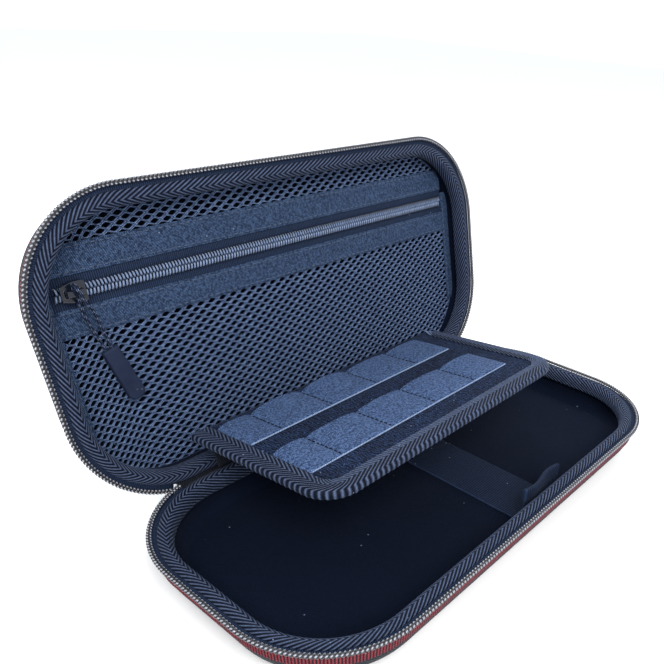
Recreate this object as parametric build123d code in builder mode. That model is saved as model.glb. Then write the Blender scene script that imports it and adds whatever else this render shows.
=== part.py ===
"""Hard zip case with a mesh pocket and a card flap, standing open with the flap half raised.

+X runs along the length, -Y is the front, +Y the hinge side and +Z is up. The origin is the
centre of the base's flat underside. Sizes are in millimetres. The lid is drawn in its own
plane: that plane's z runs from the lid's outside face to its rim, and its y away from the hinge.
"""

import os
from math import cos, radians, sin, tan

from build123d import *

# Whole case
half_length = 131.0
half_width = 65.0
corner_radius = 46.0
base_depth = 22.0
lid_depth = 25.0
draft = 5.0
bottom_radius = 14.0
hollow_radius = 6.4

# Moulded walls, measured inwards from the teeth's outer line and down from the rim plane
wall_inset = 3.0
wall_drop = 3.0
wall_thickness = 3.6
lining_thickness = 1.0
fit_gap = 0.1
running_gap = 0.3

# Zip that closes the case
coil_width = 2.4
coil_height = 2.0
coil_round = 0.8
tape_thickness = 0.7
tape_inset = 1.3
tape_width = 5.0
zip_end_inset = 36.0

# Tape that binds the rims
binding_inset = 3.6
binding_width = 6.4
binding_drop = 0.7
binding_height = 6.8
binding_outer_round = 2.2
binding_inner_round = 4.0

# Woven band round the outside, under the zip
trim_thickness = 0.8
trim_height = 6.0
trim_gap = 0.05

# Cloth spine on the hinge side
spine_height = 10.5
spine_end_gap = 1.0

# Lid hinge, a fold inside the back rim
hinge_inset = 3.1
hinge_drop = 4.45
lid_open = 100.65

# Zipped mesh pocket in the lid, the zip measured down from the lid's upper edge
mesh_drop = 12.5
mesh_thickness = 1.0
pocket_zip_drop = 37.5
pocket_coil_width = 3.0
pocket_coil_thickness = 2.0
pocket_tape_width = 6.5
coil_end_gap = 1.0
pocket_tape_thickness = 0.5
band_thickness = 0.7
upper_band_width = 10.5
lower_band_width = 10.0
end_strip_width = 6.0
end_strip_reach = 32.0
band_lap = 1.0
band_over_tape = 3.4
mesh_column_pitch = 9.9
mesh_row_pitch = 13.0
mesh_margin = 23.0
mesh_hole_width = 6.0
mesh_hole_height = 5.0

# Slider of the mesh pocket and its pull
slider_inset = 23.0
slider_length = 10.0
slider_width = 8.4
slider_nose_share = 0.7
slider_plate = 0.8
slider_edge = 0.25
slider_gap = 0.25
bridge_length = 7.0
bridge_width = 2.6
bridge_wall = 0.8
bridge_hole = 1.9
cord_diameter = 1.6
cord_fold = 3.6
arc_share = 0.45
pull_angle = 15.0
grip_start = 25.0
grip_length = 24.0
grip_width = 7.0
grip_end_width = 7.6
grip_thickness = 3.2
grip_height = 1.0
grip_round = 0.9
grip_end_round = 2.8

# Card flap
flap_length = 162.0
flap_depth = 88.0
flap_shift = -5.0
flap_tilt = 7.0
flap_corner = 15.0
flap_lift = 17.5
flap_back_reach = 0.5
flap_board_thickness = 1.2
flap_cloth_thickness = 1.0
flap_binding_width = 9.0
flap_binding_thickness = 4.8
flap_binding_round = 1.9
flap_lap = 6.0
flap_board_inset = 4.0
flap_back_gap = 1.2
seam_shares = (-0.443, -0.333, -0.148, 0.034, 0.219, 0.383)
pocket_depth = 23.0
back_strip_edge = 7.3
front_strip_edge = 44.5
elastic_thickness = 0.8
pocket_crown = 0.7
pocket_slope = 30.0
filled_pockets = (1, 2)
filled_height = 3.9
filled_low_height = 1.2
seam_width = 1.2

# Cloth that carries the flap
neck_inset = 4.5
neck_thickness = 0.6
neck_margin = 9.0
neck_tuck = 0.8
neck_gap = 0.3

# Ribbon that lifts what the base holds: it lies on the floor and stands up at the front
ribbon_x = 18.0
ribbon_width = 28.0
ribbon_thickness = 1.1
ribbon_back_y = 20.0
ribbon_front_gap = 3.4
ribbon_rise = 2.0
ribbon_bend = 4.0
ribbon_hem = 7.0
ribbon_hem_thickness = 2.2

# Zip ends that lie folded against the back of the base
tail_length = 22.0
tail_height = 7.6
tail_drop = 14.6
tail_chain_width = 4.6
tail_chain_thickness = 1.8
main_slider_length = 10.0
main_slider_width = 7.4
main_bridge_length = 6.4
main_bridge_hole = 1.7
pull_length = 27.0
pull_width = 5.2
pull_thickness = 1.0
pull_round = 1.4
pull_window_gap = 1.2
pull_edge = 0.15

rim_z = base_depth
zip_end = half_length - zip_end_inset
hinge_y = half_width - hinge_inset
hinge_z = rim_z - hinge_drop
hinge_point = Vector(0, hinge_y, hinge_z)
closed_lid_origin = Vector(0, 0, rim_z + lid_depth)
lid_origin = hinge_point + (closed_lid_origin - hinge_point).rotate(Axis.X, -lid_open)
lid_normal = Vector(0, 0, -1).rotate(Axis.X, -lid_open)
lid_plane = Plane(origin=lid_origin, x_dir=(1, 0, 0), z_dir=lid_normal)
base_plane = Plane.XY

os.makedirs("parts", exist_ok=True)


def save(part, name):
    """Label a finished piece and write it as its own node."""
    part.label = name
    export_step(part, f"parts/{name}.step")


def outline(inset):
    """The rim's rounded rectangle, drawn inset from the teeth's outer line."""
    RectangleRounded(2 * (half_length - inset), 2 * (half_width - inset), corner_radius - inset)


def height_axis(plane):
    return Axis(plane.origin, plane.z_dir)


def ring(plane, outer_inset, inner_inset, low, high):
    """A band that follows the rim between two insets and two heights."""
    with BuildPart() as band:
        with BuildSketch(plane.offset(low)):
            outline(outer_inset)
            with BuildSketch(plane.offset(low), mode=Mode.SUBTRACT):
                outline(inner_inset)
        extrude(amount=high - low)
    return band.part


def drafted_block(plane, top_inset, low, high, floor_radius=0.0):
    """A solid that widens towards the rim as the moulded walls do."""
    floor_inset = top_inset + (high - low) * tan(radians(draft))
    with BuildPart() as block:
        with BuildSketch(plane.offset(low)):
            outline(floor_inset)
        extrude(amount=high - low, taper=-draft)
        if floor_radius > 0:
            floor_face = block.faces().sort_by(height_axis(plane))[0]
            fillet(floor_face.edges(), floor_radius)
    return block.part


def spine_window(plane, side, reach, low, high):
    """The stretch of the hinge side between the two ends of the zip."""
    with BuildPart() as window:
        with BuildSketch(plane.offset(low)):
            with Locations((0, side * half_width)):
                Rectangle(2 * reach, half_width)
        extrude(amount=high - low)
    return window.part


# The two moulded halves, from the same walls, linings, bindings, zip halves and bands
for name, plane, depth, side in (
    ("base", base_plane, base_depth, 1),
    ("lid", lid_plane, lid_depth, -1),
):
    wall_top = depth - wall_drop
    tape_top = wall_top + tape_thickness
    window_top = depth + wall_drop
    window = spine_window(plane, side, zip_end, 0, window_top)
    cloth_window = spine_window(plane, side, zip_end - spine_end_gap, 0, window_top)

    with BuildPart() as shell:
        add(drafted_block(plane, wall_inset, 0, wall_top, bottom_radius))
        add(
            drafted_block(
                plane,
                wall_inset + wall_thickness,
                wall_thickness,
                wall_top,
                hollow_radius,
            ),
            mode=Mode.SUBTRACT,
        )
    save(shell.part, f"{name}_shell")

    lining_inset = wall_inset + wall_thickness + fit_gap
    lining_floor = wall_thickness + fit_gap
    lining_radius = hollow_radius - fit_gap
    with BuildPart() as lining:
        add(drafted_block(plane, lining_inset, lining_floor, wall_top, lining_radius))
        add(
            drafted_block(
                plane,
                lining_inset + lining_thickness,
                lining_floor + lining_thickness,
                wall_top,
                lining_radius - lining_thickness,
            ),
            mode=Mode.SUBTRACT,
        )
    save(lining.part, f"{name}_lining")

    binding_top = depth - binding_drop
    channel_lean = (wall_top - binding_top + binding_height) * tan(radians(draft))
    channel_inset = lining_inset + lining_thickness + channel_lean + fit_gap
    with BuildPart() as binding:
        add(
            ring(
                plane,
                binding_inset,
                binding_inset + binding_width,
                binding_top - binding_height,
                binding_top,
            )
        )
        top_face = binding.faces().sort_by(height_axis(plane))[-1]
        loops = top_face.wires().sort_by(SortBy.LENGTH)
        fillet(loops[-1].edges(), binding_outer_round)
        top_face = binding.faces().sort_by(height_axis(plane))[-1]
        loops = top_face.wires().sort_by(SortBy.LENGTH)
        fillet(loops[0].edges(), binding_inner_round)
        channel_low = binding_top - binding_height
        channel_high = tape_top + fit_gap
        add(ring(plane, wall_inset, channel_inset, channel_low, channel_high), mode=Mode.SUBTRACT)
    save(binding.part, f"{name}_binding")

    with BuildPart() as zip_tape:
        add(ring(plane, tape_inset, tape_inset + tape_width, wall_top, tape_top))
        add(window, mode=Mode.SUBTRACT)
    save(zip_tape.part, f"{name}_zip_tape")

    with BuildPart() as zip_coil:
        add(ring(plane, 0, coil_width, tape_top, tape_top + coil_height))
        fillet(zip_coil.edges(), coil_round)
        add(window, mode=Mode.SUBTRACT)
    save(zip_coil.part, f"{name}_zip_coil")

    trim_low = wall_top - trim_height
    with BuildPart() as trim_band:
        add(drafted_block(plane, wall_inset - trim_gap - trim_thickness, trim_low, wall_top))
        add(drafted_block(plane, wall_inset - trim_gap, trim_low, wall_top), mode=Mode.SUBTRACT)
        add(window, mode=Mode.SUBTRACT)
    save(trim_band.part, f"{name}_trim_band")

    # The lid's cloth reaches past its rim as a leaf that ends beside the base's cloth
    spine_low = wall_top - spine_height
    spine_inset = wall_inset - trim_gap - tape_thickness
    leaf_inner_inset = spine_inset - running_gap
    leaf_inset = leaf_inner_inset - tape_thickness
    fold_inset = spine_inset if side > 0 else leaf_inset
    with BuildPart() as spine_strip:
        add(drafted_block(plane, spine_inset, spine_low, wall_top))
        add(drafted_block(plane, wall_inset - trim_gap, spine_low, wall_top), mode=Mode.SUBTRACT)
        add(ring(plane, fold_inset, tape_inset + tape_width, wall_top, tape_top))
        if side < 0:
            add(ring(plane, leaf_inset, leaf_inner_inset, wall_top, window_top))
        add(cloth_window, mode=Mode.INTERSECT)
    save(spine_strip.part, f"{name}_spine_strip")

# Mesh pocket: a panel stretched across the lid, split by a zip with woven bands beside it
mesh_low = lid_depth - mesh_drop - mesh_thickness
mesh_high = lid_depth - mesh_drop
mesh_inset = (
    wall_inset + wall_thickness + 2 * fit_gap + lining_thickness
    + (mesh_drop - wall_drop + mesh_thickness) * tan(radians(draft))
)
zip_line = half_width - pocket_zip_drop
pocket_tape_edge = pocket_coil_width + pocket_tape_width
upper_band_low = zip_line + pocket_tape_edge - band_over_tape
upper_band_high = upper_band_low + upper_band_width
lower_band_high = zip_line - pocket_tape_edge + band_over_tape
lower_band_low = lower_band_high - lower_band_width
panel_half_length = half_length - mesh_inset
panel_half_width = half_width - mesh_inset


def panel_between(low_y, high_y, thickness_low, thickness_high):
    """The stretch of the lid's recess between two heights above its middle."""
    with BuildPart() as panel:
        with BuildSketch(lid_plane.offset(thickness_low)):
            outline(mesh_inset)
            with Locations((0, (low_y + high_y) / 2)):
                Rectangle(2 * half_length, high_y - low_y, mode=Mode.INTERSECT)
        extrude(amount=thickness_high - thickness_low)
    return panel.part


def mesh_panel(low_y, high_y):
    """A mesh panel with rows of lozenge gaps, each row shifted by half a gap."""
    run = 2 * (panel_half_length - mesh_margin)
    columns = round(run / mesh_column_pitch)
    rows = round((high_y - low_y) / mesh_row_pitch)
    pitch_x = run / columns
    pitch_y = (high_y - low_y) / rows
    with BuildPart() as panel:
        add(panel_between(low_y, high_y, mesh_low, mesh_high))
        with BuildSketch(lid_plane.offset(mesh_low)):
            for row in range(rows):
                shift = pitch_x / 4 if row % 2 else -pitch_x / 4
                row_y = low_y + pitch_y * (row + 0.5)
                with Locations((shift, row_y)):
                    with GridLocations(pitch_x, pitch_y, columns, 1):
                        Polygon(
                            (mesh_hole_width / 2, 0),
                            (0, mesh_hole_height / 2),
                            (-mesh_hole_width / 2, 0),
                            (0, -mesh_hole_height / 2),
                        )
        extrude(amount=mesh_thickness, mode=Mode.SUBTRACT)
    return panel.part


def strip_between(low_y, high_y, low, high):
    """A woven strip across the lid that stops at the two end strips."""
    with BuildPart() as strip:
        add(panel_between(low_y, high_y, low, high))
        with BuildSketch(lid_plane.offset(low)):
            Rectangle(2 * (panel_half_length - end_strip_width), 2 * half_width)
        extrude(amount=high - low, mode=Mode.INTERSECT)
    return strip.part


with BuildPart() as pocket_mesh_upper:
    add(mesh_panel(upper_band_high, panel_half_width))
save(pocket_mesh_upper.part, "pocket_mesh_upper")

with BuildPart() as pocket_mesh_lower:
    add(mesh_panel(-panel_half_width, lower_band_low))
save(pocket_mesh_lower.part, "pocket_mesh_lower")

chain_half_gap = fit_gap / 2
pocket_tape_low = mesh_high - pocket_tape_thickness
with BuildPart() as pocket_tape_upper:
    add(
        strip_between(
            zip_line + chain_half_gap,
            zip_line + pocket_tape_edge,
            pocket_tape_low,
            mesh_high,
        )
    )
save(pocket_tape_upper.part, "pocket_tape_upper")

with BuildPart() as pocket_tape_lower:
    add(
        strip_between(
            zip_line - pocket_tape_edge,
            zip_line - chain_half_gap,
            pocket_tape_low,
            mesh_high,
        )
    )
save(pocket_tape_lower.part, "pocket_tape_lower")

band_high = mesh_high + band_thickness
with BuildPart() as pocket_band_upper:
    add(strip_between(upper_band_low, upper_band_high + band_lap, mesh_high, band_high))
save(pocket_band_upper.part, "pocket_band_upper")

with BuildPart() as pocket_band_lower:
    add(strip_between(lower_band_low - band_lap, lower_band_high, mesh_high, band_high))
save(pocket_band_lower.part, "pocket_band_lower")

coil_half_length = panel_half_length - end_strip_width - coil_end_gap
for name, side in (("pocket_coil_upper", 1), ("pocket_coil_lower", -1)):
    coil_middle = zip_line + side * (chain_half_gap + pocket_coil_width) / 2
    with BuildPart() as pocket_coil:
        with BuildSketch(lid_plane.offset(mesh_high)):
            with Locations((0, coil_middle)):
                Rectangle(2 * coil_half_length, pocket_coil_width - chain_half_gap)
        extrude(amount=pocket_coil_thickness)
        long_edges = pocket_coil.edges().filter_by(Axis.X)
        fillet(long_edges.sort_by(height_axis(lid_plane))[-2:], coil_round)
    save(pocket_coil.part, name)

for name, side in (("pocket_end_strip_left", -1), ("pocket_end_strip_right", 1)):
    strip_middle = side * (panel_half_length - end_strip_width / 2)
    with BuildPart() as end_strip:
        add(panel_between(-end_strip_reach, end_strip_reach, mesh_high, band_high))
        with BuildSketch(lid_plane.offset(mesh_high)):
            with Locations((strip_middle, 0)):
                Rectangle(end_strip_width - fit_gap, 2 * half_width)
        extrude(amount=band_thickness, mode=Mode.INTERSECT)
    save(end_strip.part, name)


def slider_solid(plane, nose, length, width, low, chain_top, bridge, hole):
    """A zip slider over a chain that runs along the plane's x: plate, lips and bridge."""
    plate_low = chain_top + slider_gap
    plate_high = plate_low + slider_plate
    bridge_high = plate_high + hole + bridge_wall
    nose_width = width * slider_nose_share
    with BuildPart() as slider:
        with BuildSketch(plane.offset(low)):
            with BuildLine():
                Polyline(
                    (length / 2 * nose, -nose_width / 2),
                    (0, -width / 2),
                    (-length / 2 * nose, -width / 2),
                    (-length / 2 * nose, width / 2),
                    (0, width / 2),
                    (length / 2 * nose, nose_width / 2),
                    close=True,
                )
            make_face()
        extrude(amount=plate_high - low)
        fillet(slider.edges().filter_by(height_axis(plane)), slider_plate)
        fillet(slider.faces().sort_by(height_axis(plane))[-1].edges(), slider_edge)
        with BuildSketch(plane.offset(low)):
            Rectangle(2 * length, width - 2 * slider_plate)
        extrude(amount=plate_low - low, mode=Mode.SUBTRACT)
        with BuildSketch(plane.offset(plate_high)):
            Rectangle(bridge, bridge_width)
        extrude(amount=bridge_high - plate_high)
        with BuildSketch(plane.offset(plate_high)):
            Rectangle(bridge - 2 * bridge_wall, 2 * bridge_width)
        extrude(amount=hole, mode=Mode.SUBTRACT)
        fillet(slider.faces().sort_by(height_axis(plane))[-1].edges(), slider_edge)
    return slider.part


# Slider of the mesh pocket, its cord loop and its rubber grip
slider_x = slider_inset - half_length
slider_origin = lid_plane.from_local_coords((slider_x, zip_line, mesh_high))
slider_frame = Plane(origin=slider_origin, x_dir=(1, 0, 0), z_dir=lid_normal)
with BuildPart() as pocket_slider:
    add(
        slider_solid(
            slider_frame,
            -1,
            slider_length,
            slider_width,
            running_gap,
            pocket_coil_thickness,
            bridge_length,
            bridge_hole,
        )
    )
save(pocket_slider.part, "pocket_slider")

slider_top = pocket_coil_thickness + slider_gap + slider_plate
strand_low = slider_top + bridge_hole / 2
strand_high = strand_low + cord_fold
grip_middle = grip_height + grip_thickness / 2
pull_turn = radians(pull_angle)
pull_across = slider_frame.x_dir * cos(pull_turn) + slider_frame.y_dir * sin(pull_turn)
pull_frame = Plane(origin=slider_origin, x_dir=pull_across, z_dir=lid_normal)

# Route of the cord loop from the grip, under the bridge, over it and back, in the pull's frame:
# across the pull, along it towards the bridge, and up from the mesh
cord_points = [
    (-1.4, -grip_start, grip_middle),
    (-1.4, -18.0, grip_middle),
    (-1.9, -10.5, 3.6),
    (-0.5, -3.8, strand_low),
    (0.5, 3.4, strand_low),
    (0.5, 3.5, strand_high),
    (0.0, -3.0, strand_high),
    (1.9, -9.8, 5.4),
    (1.4, -18.0, grip_middle),
    (1.4, -grip_start, grip_middle),
]


def bend_radii(points):
    """The largest arc that the two runs beside each corner leave room for."""
    radii = []
    for before, corner, after in zip(points, points[1:], points[2:]):
        run_in = corner - before
        run_out = after - corner
        half_turn = radians(run_in.get_angle(run_out)) / 2
        radii.append(arc_share * min(run_in.length, run_out.length) / tan(half_turn))
    return radii


route = [pull_frame.from_local_coords(Vector(*point)) for point in cord_points]
radii = bend_radii(route)
with BuildPart() as pull_cord:
    with BuildLine():
        cord_path = FilletPolyline(*route, radius=radii)
    with BuildSketch(Plane(origin=cord_path @ 0, z_dir=cord_path % 0)):
        Circle(cord_diameter / 2)
    sweep()
save(pull_cord.part, "pull_cord")
print("cord length", round(cord_path.length, 2), "radii", [round(r, 2) for r in radii])

with BuildPart() as pull_grip:
    with BuildSketch(pull_frame.offset(grip_height)) as grip_sketch:
        with BuildLine():
            Polyline(
                (-grip_width / 2, -grip_start),
                (grip_width / 2, -grip_start),
                (grip_end_width / 2, -grip_start - grip_length),
                (-grip_end_width / 2, -grip_start - grip_length),
                close=True,
            )
        make_face()
        fillet(grip_sketch.vertices().group_by(Axis.Y)[0], grip_end_round)
    extrude(amount=grip_thickness)
    far_faces = pull_grip.faces().sort_by(height_axis(pull_frame))
    fillet(far_faces[0].edges() + far_faces[-1].edges(), grip_round)
save(pull_grip.part, "pull_grip")

# Card flap: a stiff board between velvet and soft cloth, bound on three edges
flap_axis_point = Vector(flap_shift, half_width + flap_back_reach, rim_z + flap_lift)
flap_normal = Vector(0, sin(radians(flap_tilt)), cos(radians(flap_tilt)))
flap_plane = Plane(origin=flap_axis_point, x_dir=(1, 0, 0), z_dir=flap_normal)


def flap_sheet(inset, low, high, corner):
    """A layer of the flap, inset on its three free edges."""
    with BuildPart() as layer:
        with BuildSketch(flap_plane.offset(low)) as cut:
            with Locations((0, -(flap_depth - inset + flap_back_gap) / 2)):
                Rectangle(flap_length - 2 * inset, flap_depth - inset - flap_back_gap)
            fillet(cut.vertices().group_by(Axis.Y)[0], corner)
        extrude(amount=high - low)
    return layer.part


board_half = flap_board_thickness / 2
cloth_top = board_half + flap_cloth_thickness
sheet_inset = flap_binding_width - flap_lap
with BuildPart() as flap_board:
    add(flap_sheet(flap_board_inset, -board_half, board_half, flap_corner - flap_board_inset))
save(flap_board.part, "flap_board")

with BuildPart() as flap_face:
    add(flap_sheet(sheet_inset, board_half, cloth_top, flap_corner - sheet_inset))
save(flap_face.part, "flap_face")

with BuildPart() as flap_back:
    add(flap_sheet(sheet_inset, -cloth_top, -board_half, flap_corner - sheet_inset))
save(flap_back.part, "flap_back")

binding_half = flap_binding_thickness / 2
with BuildPart() as flap_binding:
    add(flap_sheet(0, -binding_half, binding_half, flap_corner))
    faces = flap_binding.faces().sort_by(height_axis(flap_plane))
    free_edges = [
        edge
        for edge in faces[0].edges() + faces[-1].edges()
        if flap_plane.to_local_coords(edge.center()).Y < -2 * flap_back_gap
    ]
    fillet(free_edges, flap_binding_round)
    inner_reach = 2 * binding_half
    add(
        flap_sheet(
            flap_binding_width,
            -inner_reach,
            inner_reach,
            flap_corner - flap_binding_width,
        ),
        mode=Mode.SUBTRACT,
    )
    slot_half = cloth_top + fit_gap
    add(
        flap_sheet(sheet_inset - fit_gap, -slot_half, slot_half, flap_corner - sheet_inset),
        mode=Mode.SUBTRACT,
    )
save(flap_binding.part, "flap_binding")

# Elastic card pockets, stitched to the velvet along seams and along their front edges
strip_low = cloth_top + fit_gap / 2
pocket_seams = [share * flap_length for share in seam_shares]


def arch(width, height, y, middle):
    """An arched section across a pocket, on the plane that stands at that depth."""
    origin = flap_plane.from_local_coords((middle, y, strip_low))
    section = Plane(origin=origin, x_dir=-flap_plane.x_dir, z_dir=flap_plane.y_dir)
    with BuildSketch(section) as face:
        with BuildLine():
            Line((width / 2, 0), (-width / 2, 0))
            ThreePointArc((-width / 2, 0), (0, height), (width / 2, 0))
        make_face()
    return face.sketch


def bulge(left, right, mouth_y, low_y, wall):
    """The arched shell of a filled pocket, open at its mouth."""
    middle = (left + right) / 2
    width = right - left - seam_width
    outer_faces = [
        arch(width, filled_height, mouth_y, middle),
        arch(width, filled_low_height, low_y, middle),
    ]
    inner_faces = [
        arch(width - 2 * wall, filled_height - wall, mouth_y, middle),
        arch(width - 2 * wall, filled_low_height - wall, low_y, middle),
    ]
    with BuildPart() as shape:
        loft(outer_faces)
        loft(inner_faces, mode=Mode.SUBTRACT)
    return shape.part


for name, edge, filled in (
    ("card_strip_back", back_strip_edge, filled_pockets),
    ("card_strip_front", front_strip_edge, ()),
):
    mouth_y = -edge
    low_y = -edge - pocket_depth
    with BuildPart() as card_strip:
        with BuildSketch(flap_plane.offset(strip_low)):
            with Locations(((pocket_seams[0] + pocket_seams[-1]) / 2, (mouth_y + low_y) / 2)):
                Rectangle(pocket_seams[-1] - pocket_seams[0], pocket_depth)
            for index in filled:
                left = pocket_seams[index] + seam_width
                right = pocket_seams[index + 1] - seam_width
                with Locations(((left + right) / 2, mouth_y - pocket_depth / 2 + seam_width)):
                    Rectangle(right - left, pocket_depth, mode=Mode.SUBTRACT)
        extrude(amount=elastic_thickness)
        with BuildSketch(flap_plane.offset(strip_low + elastic_thickness)):
            for index, (left, right) in enumerate(zip(pocket_seams, pocket_seams[1:])):
                if index not in filled:
                    with Locations(((left + right) / 2, (mouth_y + low_y) / 2)):
                        Rectangle(right - left - seam_width, pocket_depth - seam_width)
        extrude(amount=pocket_crown, taper=pocket_slope)
        for index in filled:
            add(
                bulge(
                    pocket_seams[index],
                    pocket_seams[index + 1],
                    mouth_y,
                    low_y + seam_width,
                    elastic_thickness,
                )
            )
    save(card_strip.part, name)

# Cloth that joins the flap to the back rim
neck_start = Vector(flap_shift, half_width - neck_inset, rim_z)
neck_run = flap_axis_point - neck_start
neck_direction = neck_run.normalized()
neck_plane = Plane(
    origin=neck_start,
    x_dir=(1, 0, 0),
    z_dir=Vector(1, 0, 0).cross(neck_direction),
)
with BuildPart() as flap_neck:
    with BuildSketch(neck_plane.offset(-neck_thickness / 2)):
        with Locations((0, (neck_run.length - neck_gap - neck_tuck) / 2)):
            Rectangle(flap_length - 2 * neck_margin, neck_run.length - neck_gap + neck_tuck)
    extrude(amount=neck_thickness)
save(flap_neck.part, "flap_neck")

# Lifting ribbon on the floor of the base, standing up in front
floor_z = wall_thickness + 2 * fit_gap + lining_thickness
ribbon_front_y = -(half_width - binding_inset - binding_width - ribbon_front_gap)
ribbon_top = rim_z + ribbon_rise
with BuildPart() as lift_ribbon:
    with BuildSketch(Plane.YZ.offset(ribbon_x - ribbon_width / 2)) as profile:
        with BuildLine():
            FilletPolyline(
                (ribbon_back_y, floor_z + ribbon_thickness / 2),
                (ribbon_front_y, floor_z + ribbon_thickness / 2),
                (ribbon_front_y, ribbon_top),
                radius=ribbon_bend,
            )
            offset(amount=ribbon_thickness / 2)
        make_face()
    extrude(amount=ribbon_width)
    with BuildSketch(Plane.XY.offset(ribbon_top - ribbon_hem)):
        with Locations((ribbon_x, ribbon_front_y)):
            Rectangle(ribbon_width, ribbon_hem_thickness)
    extrude(amount=ribbon_hem)
save(lift_ribbon.part, "lift_ribbon")

# Folded ends of the main zip with their sliders and pulls, behind the base
tail_z = rim_z - tail_drop
strip_face_y = half_width - wall_inset + trim_gap + tape_thickness
tail_top_slope = (base_depth - wall_drop - tail_z - tail_height / 2) * tan(radians(draft))
tail_y = strip_face_y - tail_top_slope + fit_gap
for name, side in (("left", -1), ("right", 1)):
    tail_middle = side * (zip_end - tail_length / 2)
    tail_plane = Plane(origin=(tail_middle, tail_y, tail_z), x_dir=(1, 0, 0), z_dir=(0, 1, 0))
    with BuildPart() as zip_tail:
        with BuildSketch(tail_plane):
            RectangleRounded(tail_length, tail_height, bridge_wall)
        extrude(amount=tape_thickness)
        with BuildSketch(tail_plane.offset(tape_thickness)):
            Rectangle(tail_length - 2 * bridge_wall, tail_chain_width)
        extrude(amount=tail_chain_thickness)
        long_edges = zip_tail.edges().filter_by(Axis.X)
        fillet(long_edges.sort_by(Axis.Y)[-2:], coil_round)
    save(zip_tail.part, f"zip_tail_{name}")

    lips_low = tape_thickness + running_gap
    chain_top = tape_thickness + tail_chain_thickness
    with BuildPart() as main_slider:
        add(
            slider_solid(
                tail_plane,
                side,
                main_slider_length,
                main_slider_width,
                lips_low,
                chain_top,
                main_bridge_length,
                main_bridge_hole,
            )
        )
    save(main_slider.part, f"main_slider_{name}")

    pin_height = chain_top + slider_gap + slider_plate + main_bridge_hole / 2
    pull_plane = tail_plane.offset(pin_height - pull_thickness / 2)
    window_end = main_bridge_length / 2 + pull_window_gap
    window_start = pull_thickness / 2
    with BuildPart() as main_pull:
        with BuildSketch(pull_plane):
            with Locations((-side * (pull_length / 2 - window_start), 0)):
                RectangleRounded(pull_length, pull_width, pull_round)
            with Locations((-side * (window_start + window_end) / 2, 0)):
                Rectangle(
                    window_end - window_start,
                    bridge_width + 2 * running_gap,
                    mode=Mode.SUBTRACT,
                )
        extrude(amount=pull_thickness)
        outer_faces = main_pull.faces().sort_by(Axis.Y)
        chamfer(outer_faces[-1].edges(), pull_edge)
    save(main_pull.part, f"main_pull_{name}")
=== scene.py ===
# %% [markdown]
# # A hard zip case, dressed from its plain solids
# The case stands open: a shallow base, a lid that leans back, a mesh pocket in the lid and a card
# flap that hovers over the base. The solids already have the right sizes. This lesson gives each
# cloth, tape, tooth and thread the form and finish that the eye expects when it comes close.

import math

import bpy
import numpy as np
from mathutils import Matrix


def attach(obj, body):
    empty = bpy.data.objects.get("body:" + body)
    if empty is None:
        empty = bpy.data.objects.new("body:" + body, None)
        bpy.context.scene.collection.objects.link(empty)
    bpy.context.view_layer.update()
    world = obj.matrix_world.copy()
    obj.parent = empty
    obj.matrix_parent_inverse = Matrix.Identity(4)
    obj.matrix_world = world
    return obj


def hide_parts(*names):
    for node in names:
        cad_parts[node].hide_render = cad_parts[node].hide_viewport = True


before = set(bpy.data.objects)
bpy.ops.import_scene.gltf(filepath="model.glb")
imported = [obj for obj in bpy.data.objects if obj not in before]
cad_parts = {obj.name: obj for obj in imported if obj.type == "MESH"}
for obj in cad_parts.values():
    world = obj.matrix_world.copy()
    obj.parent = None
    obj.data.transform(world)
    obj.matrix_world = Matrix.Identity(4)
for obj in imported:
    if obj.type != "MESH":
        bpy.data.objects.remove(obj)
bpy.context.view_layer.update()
MM = 0.001

# %% [markdown]
# ## The two halves and the flap as drawing boards
# A lid that leans back is hard to draw in world axes. It is easier to draw each piece flat on its
# own board, in millimetres, and let one function carry the points to their place. Each board
# takes x along the case, a second direction, and a height above the board, and gives metres.

# %% Boards
HALF_LENGTH, HALF_WIDTH, CORNER = 131.0, 65.0, 46.0
BASE_DEPTH, LID_DEPTH = 22.0, 25.0
HINGE_Y, HINGE_Z = 61.9, 17.55
WALL_LEAN = math.tan(math.radians(5.0))
LID_OPEN = math.radians(100.65)
FLAP_X, FLAP_Y, FLAP_Z = -5.0, 65.5, 39.5
FLAP_TILT = math.radians(7.0)


def base_board(x, toward_hinge, height):
    """Base: the second direction runs to the hinge, and height starts at the underside."""
    return np.stack(np.broadcast_arrays(x, toward_hinge, height), -1) * MM


def lid_board(x, toward_hinge, height):
    """Lid: the same, with height from the lid's outside face towards its rim."""
    x, along, height = np.broadcast_arrays(x, toward_hinge, height)
    back, up = along - HINGE_Y, BASE_DEPTH + LID_DEPTH - height - HINGE_Z
    cos, sin = math.cos(LID_OPEN), math.sin(LID_OPEN)
    y = HINGE_Y + back * cos + up * sin
    z = HINGE_Z - back * sin + up * cos
    return np.stack([x, y, z], -1) * MM


def pocket_board(x, up_the_lid, height):
    """The lid again, with the second direction up the standing lid."""
    return lid_board(x, -np.asarray(up_the_lid, float), height)


def flap_board(x, y, height):
    """Flap: x from its middle, y is 0 at the back edge and negative towards the front."""
    x, y, height = np.broadcast_arrays(x, y, height)
    cos, sin = math.cos(FLAP_TILT), math.sin(FLAP_TILT)
    across = FLAP_Y + y * cos + height * sin
    return np.stack([x + FLAP_X, across, FLAP_Z - y * sin + height * cos], -1) * MM


print("top of the standing lid", np.round(lid_board(0.0, -HALF_WIDTH, LID_DEPTH), 4))

# %% [markdown]
# ## The camera
# The photograph was taken close by, from above the front left corner, and it is a crop, so the
# picture's middle isn't where the lens points. A small lens shift gives the same framing.

# %% Camera
PICTURE, SENSOR = 664.0, 36.0
FOCAL_PX, AIM_X, AIM_Y = 677.351, 433.683, 448.445
EYE = (-0.21568, -0.16375, 0.20455)
RIGHT = (0.63183, -0.77269, 0.06119)
DOWN = (-0.39851, -0.39155, -0.82939)
AHEAD = (0.66481, 0.49965, -0.55532)

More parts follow.
